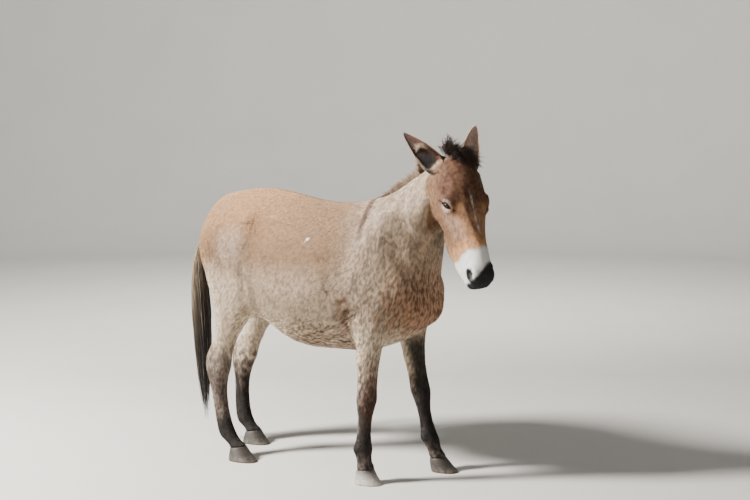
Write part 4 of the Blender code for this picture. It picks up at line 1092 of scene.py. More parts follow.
def paint_coat():
    at = points_of(skin)
    paint = Paint(len(at), "dun")
    paint_trunk(paint, at)
    paint_legs(paint, at)
    paint_head(paint, at, face)
    paint_ears(paint, at, ear)
    paint_eyes(paint, at)
    return paint.colour


def keep(obj, name, kind, values):
    """Stores one value at each point of the mesh."""
    slot = obj.data.attributes.new(name, kind, "POINT")
    key = {"FLOAT_COLOR": "color", "FLOAT_VECTOR": "vector"}.get(kind, "value")
    slot.data.foreach_set(key, np.ravel(values).astype(np.float32))


def keep_colour(obj, name, colours):
    colours = np.reshape(colours, (-1, 3))
    keep(obj, name, "FLOAT_COLOR", np.hstack([colours, np.ones((len(colours), 1))]))


colour = paint_coat()
keep_colour(skin, "coat_colour", colour)
print("painted", len(colour), "points with", len(COAT), "colours")

# %% [markdown]
# ## Which way the hair lies
# Hair grows in currents. It leaves a whorl on the forehead, runs down the face to the lips, back and down
# over neck and trunk, straight down the legs, and out along the ears. One direction is stored at each point
# of the skin, with the length, width, lift, mottling and closeness of the tufts that grow there.

# %% Lie, length and closeness
TUFT_LENGTH = {"trunk": 0.0135, "leg": 0.0100, "face": 0.0058, "ear": 0.0080}
TUFT_WIDTH = {"trunk": 0.0022, "leg": 0.0018, "face": 0.0013, "ear": 0.0014}
TUFT_LIFT = {"trunk": 1.0, "leg": 0.9, "face": 0.8, "ear": 0.9}
TUFTS_PER_M2 = {"trunk": 92000, "leg": 95000, "face": 190000, "ear": 130000}
WHORL = (0.150, 0.0, 0.02)


def toward(base, aim, mask):
    return base + (np.array(aim, float) - base) * np.clip(mask, 0, 1)[:, None]


def lie_of_coat(at):
    x, _, z = to_trunk(at).T
    lie = np.tile((-0.80, 0.0, -0.55), (len(at), 1))
    lie = toward(lie, (-1.0, 0.0, -0.10), ramp(z, 1.14, 1.24))
    lie = toward(lie, (-0.55, 0.0, -0.85), ramp(-x, 0.36, 0.52))
    lie = toward(lie, (-0.95, 0.0, -0.10), falling(z, 0.60, 0.72) * falling(np.abs(x), 0.36, 0.46))
    lie = toward(lie, (-0.10, 0.0, -1.0), falling(z, 0.80, 0.98) * ramp(np.abs(x + 0.02), 0.34, 0.46))
    lie = toward(lie, (-0.45, 0.0, -0.90), ramp(x, 0.28, 0.44))
    lie = toward(lie, (-0.12, 0.0, -1.0), leg)
    u, w, v = to_head(at).T
    down_face = np.stack([np.ones(len(at)), 0.12 * np.sign(w), -0.25 * falling(v, -0.16, -0.05)], 1)
    away = np.stack([u - WHORL[0], w - WHORL[1], 0 * v], 1) / 0.05
    near = falling(np.linalg.norm(away, axis=1), 0.3, 2.0)
    up_poll = np.stack([-np.ones(len(at)), 0.35 * np.sign(w), 0 * v], 1)
    face_lie = down_face + (up_poll - down_face) * (falling(u, 0.10, 0.19) * ramp(v, -0.10, 0.0))[:, None]
    face_lie = face_lie + (away - face_lie) * near[:, None]
    lie = toward(lie, face_lie @ HEAD_TURN_MATRIX.T, face)
    for name, side in SIDES:
        axis = HEAD.to_3x3() @ on_side(EAR_AXIS[name], side)
        lie = toward(lie, axis, ear * (side * w > -0.02))
    sway = np.stack([clouds(at, 0.07, 20 + k) - 0.5 for k in range(3)], 1)
    return lie + 0.22 * sway


def grow():
    """Stores the coat's lie and sizes on the skin."""
    at = points_of(skin)
    x, y, z = to_trunk(at).T
    belly = falling(z, 0.60, 0.86) * falling(np.abs(x), 0.34, 0.48) * (z > 0.5)
    breast = ramp(x, 0.40, 0.55) * falling(z, 0.80, 1.15) * (1 - leg)
    u, w, v = to_head(at).T
    lips = face * ramp(u, 0.40, 0.46)
    elbow = spot(np.stack([x, np.abs(y), z], 1), (0.31, 0.20, 0.72), 0.12, 0.9)
    jaw = face * falling(v, -0.24, -0.18) * ramp(u, 0.12, 0.20)
    length = by_part(TUFT_LENGTH) * (1 + 0.55 * belly + 0.40 * breast + 0.5 * elbow + 0.8 * jaw - 0.35 * lips)
    length *= 0.85 + 0.3 * clouds(at, 0.05, 31)
    closeness = by_part(TUFTS_PER_M2)
    from_eyes = (at - np.array(eye_frame(side).translation) for _, side in SIDES)
    eye_near = np.minimum(*(np.linalg.norm(away, axis=1) for away in from_eyes))
    length = length * (0.45 + 0.55 * ramp(eye_near, 0.020, 0.045))
    hole = radii_away(np.stack([u, np.abs(w), v], 1), (0.524, 0.054, -0.062), (0.026, 0.018, 0.014))
    closeness = closeness * ramp(hole, 0.85, 1.15) * ramp(eye_near, EYE_RADIUS + 0.001, EYE_RADIUS + 0.004)
    closeness = closeness * (1 - 0.75 * lips * ramp(u, 0.50, 0.54))
    lift = by_part(TUFT_LIFT) * (1 + 0.9 * belly + 0.6 * breast + 0.9 * elbow + 0.8 * jaw)
    under = falling(z, 0.62, 0.80) * falling(np.abs(x), 0.30, 0.46) * (z > 0.5)
    # How strong the flecks are; their dark part is partly painted shade between parted locks.
    fleck = 0.26 + 0.22 * ramp(x, 0.18, 0.40) + 0.12 * ramp(-z, -1.0, -0.85)
    for stronger in (1.20 * under, 1.20 * elbow, 0.85 * breast, 0.60 * falling(z, 0.52, 0.66) * leg):
        fleck = np.maximum(fleck, stronger)
    fleck = fleck + (0.32 * falling(u, 0.40, 0.43) - fleck) * face
    keep(skin, "lie", "FLOAT_VECTOR", lie_of_coat(at))
    for name, values in (
            ("tuft_length", length), ("tuft_width", by_part(TUFT_WIDTH)), ("tuft_lift", lift),
            ("fleck", fleck * (1 - ear) + 0.25 * ear), ("tufts_per_m2", closeness)):
        keep(skin, name, "FLOAT", values)


grow()
print("lie stored; longest tuft", max(TUFT_LENGTH.values()), "m, shortest", min(TUFT_LENGTH.values()), "m")

# %% [markdown]
# ## Where each tuft's colour is baked
# A tuft is too small to have a place of its own on a colour map, so it borrows its root's: the skin is
# unwrapped once by the slope of its own faces, and each tuft is later laid on that map as a patch of three
# thousandths across.

# %% Unwrap
def unwrap(obj, name):
    bpy.ops.object.select_all(action="DESELECT")
    bpy.context.view_layer.objects.active = obj
    obj.select_set(True)
    for layer in list(obj.data.uv_layers):
        obj.data.uv_layers.remove(layer)
    obj.data.uv_layers.new(name=name)
    bpy.ops.object.mode_set(mode="EDIT")
    bpy.ops.mesh.select_all(action="SELECT")
    bpy.ops.uv.smart_project(angle_limit=math.radians(66), island_margin=0.002)
    bpy.ops.object.mode_set(mode="OBJECT")


unwrap(skin, "SkinUV")
print("unwrapped on", skin.data.uv_layers[0].name)

# %% [markdown]
# ## Nodes in code
# Shader trees and geometry trees are both made by one small helper: it adds a node, sets what the caller
# names, and joins each input either to a plain value or to another node's output.

# %% The node helper
def add(tree, kind, inputs=None, **settings):
    made = tree.nodes.new(kind)
    for key, value in settings.items():
        setattr(made, key, value)
    for socket, value in (inputs or {}).items():
        if isinstance(value, bpy.types.NodeSocket):
            tree.links.new(value, made.inputs[socket])
        else:
            made.inputs[socket].default_value = value
    return made


def finish_named(name, values):
    """A material with its Principled shader's own values set; returns material, tree and shader."""
    material = bpy.data.materials.new(name)
    material.use_nodes = True
    tree = material.node_tree
    shader = tree.nodes["Principled BSDF"]
    for socket, value in values.items():
        shader.inputs[socket].default_value = value
    return material, tree, shader


def stored(tree, name, output="Fac"):
    """A value or colour that the mesh carries."""
    return add(tree, "ShaderNodeAttribute", attribute_name=name).outputs[output]


def place_in(tree):
    return add(tree, "ShaderNodeTexCoord").outputs["Object"]


def noise_at(tree, place, scale, detail):
    return add(tree, "ShaderNodeTexNoise", {"Vector": place, "Scale": scale, "Detail": detail}).outputs[0]


def math_node(tree, operation, *values):
    return add(tree, "ShaderNodeMath", dict(enumerate(values)), operation=operation).outputs[0]


def product(tree, first, *others):
    for other in others:
        first = math_node(tree, "MULTIPLY", first, other)
    return first


def scaled(tree, vector, factor):
    return add(tree, "ShaderNodeVectorMath", {0: vector, "Scale": factor}, operation="SCALE").outputs[0]


def spread_to(tree, value, low=0.0, high=1.0, start=0.0, end=1.0):
    """Maps start to end onto low to high."""
    return add(tree, "ShaderNodeMapRange", {0: value, 1: start, 2: end, 3: low, 4: high}).outputs[0]


def solid(code):
    return (*linear(code), 1)


def blended(tree, share, first, second):
    """One colour turning into another."""
    return add(tree, "ShaderNodeMix", {0: share, 6: first, 7: second}, data_type="RGBA").outputs[2]


print("helpers ready")

# %% [markdown]
# ## Skin and hair materials
# Hair is keratin: a little glossy along its length and matt across a coat, darker at the root where light
# is lost between the hairs, and never the same from one tuft to the next. The skin below shows only as short
# hair seen end on, so it has the same colours, darker, with a bump as fine as the hair.

# %% Skin and hair materials
GRAIN_SIZE = 0.0012
FLECK_SIZE = 0.0110
# The noise is squeezed along the height, so that flecks are longer than wide, and cut to steep edges.
FLECK_STRETCH = (1.0, 1.0, 0.55)
FLECK_EDGES = (0.42, 0.57)
FLECK_SHADE = (0.26, 1.34)
GRAIN_FRAME = {"Rotation": (0, 0.6, 0), "Scale": (0.35, 1, 1)}


def flecks(tree, place):
    """Small dark and pale clumps of hair, drawn out along the fall of the coat: -0.5 dark, 0.5 pale. The dark
    is partly painted shade between parted locks.
    """
    drawn = add(tree, "ShaderNodeVectorMath", {0: place, 1: FLECK_STRETCH}, operation="MULTIPLY").outputs[0]
    return spread_to(tree, noise_at(tree, drawn, 1 / FLECK_SIZE, 2.0), -0.5, 0.5, *FLECK_EDGES)


def short_coat():
    matt = {"Roughness": 0.72, "Specular IOR Level": 0.25}
    material, tree, shader = finish_named("short_hair_over_skin", matt)
    place = place_in(tree)
    along = add(tree, "ShaderNodeMapping", {0: place, **GRAIN_FRAME}).outputs[0]
    # Hair is 0.05 mm thick: the grain is drawn as 1.2 mm locks, or it would not show.
    grain = noise_at(tree, along, 1 / GRAIN_SIZE, 3)
    fleck = math_node(tree, "MULTIPLY_ADD", flecks(tree, place), stored(tree, "fleck"), 0.5)
    shade = product(tree, spread_to(tree, grain, 0.66, 1.0), spread_to(tree, fleck, *FLECK_SHADE))
    tree.links.new(scaled(tree, stored(tree, "coat_colour", "Color"), shade), shader.inputs["Base Color"])
    bump = add(tree, "ShaderNodeBump", {"Height": grain, "Strength": 0.5, "Distance": GRAIN_SIZE})
    tree.links.new(bump.outputs[0], shader.inputs["Normal"])
    return material


def hair(name, values, root_dark, tip_light, shades):
    """Hair whose colour comes with each tuft, darker at the root and varied from tuft to tuft."""
    material, tree, shader = finish_named(name, values)
    along = spread_to(tree, stored(tree, "tip"), root_dark, tip_light)
    varied = spread_to(tree, stored(tree, "tuft_shade"), *shades)
    shade = product(tree, along, varied)
    tree.links.new(scaled(tree, stored(tree, "coat_colour", "Color"), shade), shader.inputs["Base Color"])
    return material


SHORT_COAT = short_coat()
TUFT_HAIR = hair("coat_hair", {"Roughness": 0.58, "Specular IOR Level": 0.30}, 0.84, 1.08, FLECK_SHADE)
LONG_HAIR = hair(
    "mane_and_tail_hair", {"Roughness": 0.42, "Specular IOR Level": 0.45}, 0.80, 1.15, (0.70, 1.30))
skin.data.materials.append(SHORT_COAT)
print("materials", SHORT_COAT.name, TUFT_HAIR.name, LONG_HAIR.name)

# %% [markdown]
# ## One tuft
# A tuft stands for some twenty hairs. It is a flat spike, one unit long and wide, with four triangles: a
# broad root that is sunk in the skin, a low ridge that catches the light, and a tip that lies close. Its own
# map runs from 0 to 1, and a value called tip tells the material how far along it a point lies.

# %% Tuft
TUFT_POINTS = ((0.0, -0.5, -0.02), (0.0, 0.5, -0.02), (0.30, 0.0, 0.075), (1.0, 0.0, 0.030))
TUFT_FACES = ((0, 2, 1), (0, 3, 2), (2, 3, 1), (1, 3, 0))


def tuft_shape():
    mesh = bpy.data.meshes.new("tuft")
    mesh.from_pydata(TUFT_POINTS, [], TUFT_FACES)
    work = bmesh.new()
    work.from_mesh(mesh)
    bmesh.ops.recalc_face_normals(work, faces=work.faces)
    work.to_mesh(mesh)
    work.free()
    obj = link("tuft", mesh)
    keep(obj, "tip", "FLOAT", [p[0] for p in TUFT_POINTS])
    keep(obj, "patch", "FLOAT_VECTOR", [(p[0], p[1] + 0.5, 0) for p in TUFT_POINTS])
    return obj


tuft = tuft_shape()
print("tuft", triangles_of(tuft), "triangles")

# %% [markdown]
# ## The coat as a node tree
# Geometry Nodes scatter the tufts: points are dealt over the faces of one region, each gets a frame from the
# skin's normal and the stored lie, is turned and lifted a little at random, and carries one tuft scaled to
# the stored sizes. The instances are made real, because only real faces are exported.

# %% Coat tree
PATCH = 0.003
# How far a tuft may turn from the lie, and how far it may lift, in radians.
TUFT_YAW, TUFT_PITCH = 0.20, 0.11


def named(tree, name, kind="FLOAT"):
    return add(tree, "GeometryNodeInputNamedAttribute", {"Name": name}, data_type=kind).outputs["Attribute"]


def random_value(tree, low, high, seed):
    return add(tree, "FunctionNodeRandomValue", {2: low, 3: high, "Seed": seed}, data_type="FLOAT").outputs[1]


def store(tree, shape, name, value, kind="FLOAT", domain="POINT"):
    return add(tree, "GeometryNodeStoreNamedAttribute", {"Geometry": shape, "Name": name, "Value": value},
               data_type=kind, domain=domain).outputs[0]


def new_tree(name, inputs):
    tree = bpy.data.node_groups.new(name, "GeometryNodeTree")
    tree.interface.new_socket("Geometry", in_out="OUTPUT", socket_type="NodeSocketGeometry")
    for title, kind in (("Geometry", "Geometry"),) + inputs:
        tree.interface.new_socket(title, in_out="INPUT", socket_type="NodeSocket" + kind)
    return tree, add(tree, "NodeGroupInput").outputs, add(tree, "NodeGroupOutput")


def finish_tree(tree, shape, local, hair, out):
    """Makes the faces real, stores the bake's map (the root's place plus a patch) and gives the hair."""
    real = add(tree, "GeometryNodeRealizeInstances", {"Geometry": shape}).outputs[0]
    root = named(tree, "SkinUV", "FLOAT_VECTOR")
    place = add(tree, "ShaderNodeVectorMath", {0: root, 1: scaled(tree, local, PATCH)}).outputs[0]
    mapped = store(tree, real, "OFBake", place, "FLOAT2", "CORNER")
    done = add(tree, "GeometryNodeSetMaterial", {"Geometry": mapped, "Material": hair})
    tree.links.new(done.outputs[0], out.inputs[0])
    return tree


def coat_tree():
    tree, given, out = new_tree("coat_of_tufts", (
        ("Region", "Int"), ("Closeness", "Float"), ("Seed", "Int"), ("Tuft", "Object"), ("Hair", "Material")))
    here = add(tree, "FunctionNodeCompare", {2: named(tree, "region", "INT"), 3: given["Region"]},
               data_type="INT", operation="EQUAL")
    density = math_node(tree, "MULTIPLY", named(tree, "tufts_per_m2"), given["Closeness"])
    dealt = add(tree, "GeometryNodeDistributePointsOnFaces", {
        "Mesh": given["Geometry"], "Selection": here.outputs[0], "Density": density, "Seed": given["Seed"]})
    axes = {0: dealt.outputs["Normal"], 1: named(tree, "lie", "FLOAT_VECTOR")}
    frame_at = add(tree, "FunctionNodeAxesToRotation", axes, primary_axis="Z", secondary_axis="X")
    yaw, lift, vary, own = (
        random_value(tree, low, high, math_node(tree, "ADD", given["Seed"], float(step)))
        for step, (low, high) in enumerate(((-1.0, 1.0), (0.3, 1.0), (0.70, 1.25), (0.32, 0.68)), 1))
    raised = product(tree, lift, named(tree, "tuft_lift"), TUFT_PITCH, -1.0)
    turn = add(tree, "ShaderNodeCombineXYZ", {"X": 0.0, "Y": raised, "Z": product(tree, yaw, TUFT_YAW)})
    spin = add(tree, "FunctionNodeEulerToRotation", {0: turn.outputs[0]})
    turned = add(tree, "FunctionNodeRotateRotation", {0: frame_at.outputs[0], 1: spin.outputs[0]},
                 rotation_space="LOCAL")
    long = product(tree, named(tree, "tuft_length"), vary)
    size = add(tree, "ShaderNodeCombineXYZ", {"X": long, "Y": named(tree, "tuft_width"), "Z": long})
    place = add(tree, "GeometryNodeInputPosition").outputs[0]
    shade = math_node(tree, "MULTIPLY_ADD", flecks(tree, place), named(tree, "fleck"), own)
    shape = add(tree, "GeometryNodeObjectInfo", {"Object": given["Tuft"]}, transform_space="ORIGINAL")
    placed = add(tree, "GeometryNodeInstanceOnPoints", {
        "Points": store(tree, dealt.outputs["Points"], "tuft_shade", shade),
        "Instance": shape.outputs["Geometry"], "Rotation": turned.outputs[0], "Scale": size.outputs[0]})
    return finish_tree(tree, placed.outputs[0], named(tree, "patch", "FLOAT_VECTOR"), given["Hair"], out)


def give(modifier, values):
    """Sets a node modifier's inputs by the sockets' identifiers."""
    for item in modifier.node_group.interface.items_tree:
        if item.in_out == "INPUT" and item.name in values:
            modifier[item.identifier] = values[item.name]


def only_attributes(mesh, names):
    for name in [a.name for a in mesh.attributes if not (a.is_required or a.is_internal or a.name in names)]:
        mesh.attributes.remove(mesh.attributes[name])


COAT_TREE = coat_tree()


def grow_piece(name, source, tree, values):
    """Runs a tree on a copy of its source and keeps the result as a plain mesh that rides on the root."""
    piece = link(name, source.data)
    modifier = piece.modifiers.new("Grow", "NODES")
    modifier.node_group = tree
    give(modifier, values)
    baked(piece)
    only_attributes(piece.data, ("coat_colour", "tip", "tuft_shade", "OFBake", "material_index"))
    while piece.data.materials and piece.data.materials[0] is None:
        piece.data.materials.pop(index=0)
    piece.data.name = name
    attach(piece, "root")
    return piece


print("coat tree", len(COAT_TREE.nodes), "nodes")

# %% [markdown]
# ## Dealing out the coat
# No piece may hold more than two hundred thousand triangles, so the skin is divided into eleven regions, and
# each grows its own piece of coat. All of them read the same tree. The hair on face, legs and ears is finer
# and closer, as it is on the animal.

# %% Coat pieces
REGIONS = (
    ("coat_croup_left", "body_coat"), ("coat_croup_right", "body_coat"),
    ("coat_barrel_left", "body_coat"), ("coat_barrel_right", "body_coat"),
    ("coat_shoulder_left", "body_coat"), ("coat_shoulder_right", "body_coat"),
    ("coat_fore_legs", "leg_coat"), ("coat_hind_legs", "leg_coat"),
    ("coat_face_left", "face_coat"), ("coat_face_right", "face_coat"), ("coat_ears", "ear_coat"),
)


def mark_regions():
    """Numbers the faces of the skin by the piece of coat that grows on them."""
    mesh = skin.data
    centre = read_all(mesh.polygons, "center", 3)
    starts = read_all(mesh.polygons, "loop_start", kind=int)
    first = read_all(mesh.loops, "vertex_index", kind=int)[starts]
    x, y, z = to_trunk(centre).T
    right = (y < 0).astype(int)
    region = np.where(x < -0.22, 0, np.where(x < 0.20, 2, 4)) + right
    region = np.where(z < 0.52, np.where(x > 0, 6, 7), region)
    region = np.where(face[first] > 0.5, 8 + (to_head(centre)[:, 1] < 0), region)
    region = np.where(ear[first] > 0.5, 10, region)
    slot = mesh.attributes.new("region", "INT", "FACE")
    slot.data.foreach_set("value", region.astype(np.int32))


mark_regions()
CLOSENESS = 1.0
SEED_START, SEED_STEP = 100, 10
coat_triangles = 0
for number, (name, slot) in enumerate(REGIONS):
    piece = grow_piece(name, skin, COAT_TREE, {
        "Region": number, "Closeness": CLOSENESS, "Seed": SEED_START + SEED_STEP * number, "Tuft": tuft,
        "Hair": TUFT_HAIR})
    coat_triangles += triangles_of(piece)
    print(name, triangles_of(piece))
print("coat", coat_triangles, "triangles")

# %% [markdown]
# ## Strands
# Mane, forelock, tail and lashes are long enough to be seen hair by hair. Each strand is a line of points
# worked out from its root, its fall and a little chance. A second tree sweeps a thin three-sided section
# along every line, as thick as the value stored at each point.

# %% Strand tree
def strand_tree():
    tree, given, out = new_tree("strands", (("Hair", "Material"),))
    lines = add(tree, "GeometryNodeMeshToCurve", {"Mesh": given["Geometry"]})
    section = add(tree, "GeometryNodeCurvePrimitiveCircle", {"Resolution": 3, "Radius": 1.0})
    index = add(tree, "GeometryNodeInputIndex").outputs[0]
    section = store(tree, section.outputs[0], "across", math_node(tree, "DIVIDE", index, 2.0))
    swept = add(tree, "GeometryNodeCurveToMesh", {
        "Curve": lines.outputs[0], "Profile Curve": section, "Scale": named(tree, "thickness"),
        "Fill Caps": True})
    patch = add(tree, "ShaderNodeCombineXYZ", {"X": named(tree, "tip"), "Y": named(tree, "across"), "Z": 0.0})
    return finish_tree(tree, swept.outputs[0], patch.outputs[0], given["Hair"], out)


STRAND_TREE = strand_tree()
skin_tree = BVHTree.FromObject(skin, bpy.context.evaluated_depsgraph_get())
skin_map = read_all(skin.data.uv_layers["SkinUV"].data, "uv", 2)


def root_place(point):
    """Where the skin nearest to a root lies on the unwrap."""
    face_index = skin_tree.find_nearest(Vector(point))[2]
    polygon = skin.data.polygons[face_index]
    return skin_map[list(polygon.loop_indices)].mean(axis=0)


def strands(name, lines, thickness, colours, seed):
    """lines: (strands, points, 3); thickness: (strands, points); colours: one for each point."""
    count, steps = lines.shape[:2]
    edges = [(i * steps + k, i * steps + k + 1) for i in range(count) for k in range(steps - 1)]
    mesh = bpy.data.meshes.new(name)
    mesh.from_pydata(lines.reshape(-1, 3).tolist(), edges, [])
    source = link(name + "_lines", mesh)
    random = np.random.default_rng(seed)
    keep(source, "thickness", "FLOAT", thickness)
    keep(source, "tip", "FLOAT", np.tile(np.linspace(0, 1, steps), (count, 1)))
    keep(source, "tuft_shade", "FLOAT", np.repeat(random.uniform(0, 1, count), steps))
    keep_colour(source, "coat_colour", np.broadcast_to(colours, (count, steps, 3)))
    places = np.array([(*root_place(line[0]), 0) for line in lines])
    keep(source, "SkinUV", "FLOAT_VECTOR", np.repeat(places, steps, axis=0))
    piece = grow_piece(name, source, STRAND_TREE, {"Hair": LONG_HAIR})
    bpy.data.objects.remove(source)
    print(name, count, "strands", triangles_of(piece), "triangles")
    return piece


print("strand tree", len(STRAND_TREE.nodes), "nodes")

# %% [markdown]
# ## Mane
# This mule's mane is short and fuzzy. It stands up to five centimetres tall along the neck, is low behind the
# ears, and leans a little to either side: grey-brown, with both of its ends dark. Its roots follow the ridge
# of the neck, which is found by dropping rays on the skin.

# %% Mane
LONG_COLOURS = {"mane_root": "#A8927A", "mane_tip": "#6E5C4E", "crest": "#3A2A22", "mane": "#1C1310",
                "forelock_tip": "#4A3022", "tail_dock": "#B09A7E", "tail": "#0F0C0B", "tail_grey": "#5E554D",
                "lash": "#1A1512"}
MANE_START, MANE_END = Vector((0.330, 0.0, 1.262)), Vector((0.775, -0.050, 1.462))
# How tall the mane stands, by the share of the way from withers to poll.
MANE_PROFILE = ((0.0, 0.12, 0.25, 0.50, 0.64, 0.74, 0.84, 0.92, 1.0),
                (0.018, 0.038, 0.048, 0.050, 0.036, 0.012, 0.004, 0.010, 0.018))
MANE_STRANDS = 3900
# How thick a strand of mane or forelock is at its root: each stands for a small lock.
LOCK_THICKNESS = 0.0011


def long_colours(*names):
    return (np.array(linear(LONG_COLOURS[name])) for name in names)


def ridge(start, end, steps, reach=0.06):
    """The highest line of the skin between two points, by rays dropped across it."""
    line_points = []
    for t in np.linspace(0, 1, steps):
        spot = FEET + start.lerp(end, t)
        best = None
        # The search narrows towards the poll, or it would climb on the ears.
        for offset in np.linspace(-reach, reach, 25) * (1 - 0.8 * ramp(t, 0.72, 0.92)):
            hit = skin_tree.ray_cast(spot + Vector((0, offset, 0.30)), Vector((0, 0, -1)))[0]
            if hit is not None and (best is None or hit.z > best.z):
                best = hit
        line_points.append(best)
    path = np.array([tuple(p) for p in line_points])
    for _ in range(6):
        path[1:-1] = 0.5 * path[1:-1] + 0.25 * (path[:-2] + path[2:])
    return path


def along_path(path, shares):
    run = np.concatenate([[0], np.cumsum(np.linalg.norm(np.diff(path, axis=0), axis=1))])
    return np.stack([np.interp(shares * run[-1], run, path[:, k]) for k in range(3)], 1)


def mane():
    random = np.random.default_rng(41)
    crest = ridge(MANE_START, MANE_END, 60)
    share = random.uniform(0, 1, MANE_STRANDS)
    root = along_path(crest, share)
    way = along_path(crest, np.minimum(share + 0.03, 1)) - along_path(crest, np.maximum(share - 0.03, 0))
    way /= np.linalg.norm(way, axis=1)[:, None]
    across = np.cross(way, (0, 0, 1))
    across /= np.linalg.norm(across, axis=1)[:, None]
    up = np.cross(across, way)
    offset = random.normal(0, 0.0080, MANE_STRANDS)
    tall = np.interp(share, *MANE_PROFILE) * random.uniform(0.60, 1.10, MANE_STRANDS)
    tall *= 0.80 + 0.3 * clouds(root, 0.03, 51)
    lean = 0.35 * offset / 0.0065 + 0.5 * (clouds(root, 0.05, 52) - 0.5)
    lean = lean + random.normal(0, 0.15, MANE_STRANDS)
    sweep = 0.25 + 0.9 * (clouds(root, 0.045, 53) - 0.5) + random.normal(0, 0.15, MANE_STRANDS)
    steps = np.linspace(0, 1, 6)
    rise = tall[:, None] * steps
    aside = offset[:, None] + 0.55 * lean[:, None] * tall[:, None] * steps**1.8
    upwards = rise - 0.008 - np.abs(offset)[:, None] * 0.5
    back = 0.5 * sweep[:, None] * tall[:, None] * steps**1.6
    line_at = root[:, None, :] + across[:, None, :] * aside[..., None]
    line_at = line_at + up[:, None, :] * upwards[..., None] - way[:, None, :] * back[..., None]
    thickness = LOCK_THICKNESS * (1 - 0.85 * steps**1.5) * random.uniform(0.7, 1.2, MANE_STRANDS)[:, None]
    pale, grey, crest_dark = long_colours("mane_root", "mane_tip", "crest")
    blend = np.clip(steps * 0.9 + random.uniform(-0.4, 0.4, MANE_STRANDS)[:, None], 0, 1)
    shades = pale + (grey - pale) * blend[..., None]
    dark_ends = np.clip(1 - share / 0.14, 0, 1) + ramp(share, 0.70, 0.84)
    dark_ends = np.clip(dark_ends + 0.5 * (clouds(root, 0.02, 54) > 0.72), 0, 1)
    shades = shades + (crest_dark - shades) * dark_ends[:, None, None]
    return strands("mane_hair", line_at, thickness, shades, 42)


mane_hair = mane()
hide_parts("mane")

# %% [markdown]
# ## Forelock
# The forelock is the mane's last tuft: soft dark hair that rises behind the brow and falls over towards the
# far side. Each strand starts on the poll and bends over in the direction of its own lock.

# %% Forelock
# Each lock: root (along, left), how far it rises, falls aside and falls ahead.
FORELOCK = (
    (-0.030, -0.006, 0.030, 0.004, -0.004), (-0.024, -0.024, 0.030, -0.006, 0.000),
    (-0.018, 0.010, 0.034, 0.020, 0.000), (-0.008, -0.026, 0.034, 0.004, 0.012),
    (-0.004, 0.000, 0.038, 0.028, 0.014), (0.002, 0.024, 0.034, 0.034, 0.018),
    (0.010, -0.016, 0.030, 0.014, 0.030), (0.014, 0.010, 0.030, 0.036, 0.034),
    (0.020, 0.034, 0.026, 0.034, 0.032), (-0.010, 0.034, 0.030, 0.032, 0.006),
    (0.028, 0.052, 0.022, 0.024, 0.024), (0.012, 0.056, 0.024, 0.022, 0.014),
    (-0.022, -0.044, 0.026, -0.004, 0.002), (-0.006, -0.048, 0.022, -0.002, 0.010),
    (-0.038, -0.026, 0.028, -0.006, -0.006), (-0.042, -0.044, 0.024, -0.010, -0.008),
    (-0.026, -0.060, 0.020, -0.008, -0.002), (-0.054, -0.028, 0.024, -0.008, -0.012),
)
FORELOCK_STRANDS = 88


def forelock():
    random = np.random.default_rng(61)
    steps = np.linspace(0, 1, 8)
    lines, thick = [], []
    for u, w, rise, over, ahead in FORELOCK:
        for _ in range(FORELOCK_STRANDS):
            du, dw = random.normal(0, 0.010, 2)
            size = random.uniform(0.7, 1.1)
            fall = random.normal(0, 0.010, 2)
            height = size * rise * np.sin(np.minimum(steps * 1.9, 2.4))
            path = np.stack([
                u + du + (ahead * size + fall[0]) * steps**1.6,
                w + dw + (over * size + fall[1]) * steps**1.5,
                height - 0.014,
            ], 1)
            lines.append(in_head(path))
            thick.append(LOCK_THICKNESS * (1 - 0.85 * steps**1.5) * random.uniform(0.7, 1.2))
    lines = np.array([[tuple(p) for p in one] for one in lines])
    dark, pale = long_colours("mane", "forelock_tip")
    blend = np.clip(steps**2 * 0.7 + random.uniform(-0.3, 0.2, len(lines))[:, None], 0, 1)
    shades = dark + (pale - dark) * blend[..., None]
    return strands("forelock_hair", lines, np.array(thick), shades, 62)


forelock_hair = forelock()
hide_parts("forelock")

# %% [markdown]
# ## Tail
# The tail is a bony dock with hair along all of it. The hair hangs in flat locks that leave the dock one
# below another, greyish at the edges of the dock and black below, and it thins out to a few long ends. Each
# lock has one guide line, and its strands gather round it and spread at random.

# %% Tail
# Each row of the tail: x and height from between the feet, half its width and half its depth.
TAIL = (
    (-0.637, 1.100, 0.020, 0.022), (-0.692, 1.070, 0.024, 0.026), (-0.734, 1.010, 0.028, 0.030),
    (-0.764, 0.920, 0.034, 0.038), (-0.770, 0.800, 0.040, 0.046), (-0.762, 0.650, 0.042, 0.052),
    (-0.757, 0.500, 0.036, 0.048), (-0.752, 0.350, 0.026, 0.036), (-0.744, 0.220, 0.016, 0.022),
    (-0.737, 0.120, 0.006, 0.008),
)
TAIL_LOCKS = 46
TAIL_STRANDS = 30
TAIL_THICKNESS = 0.00125


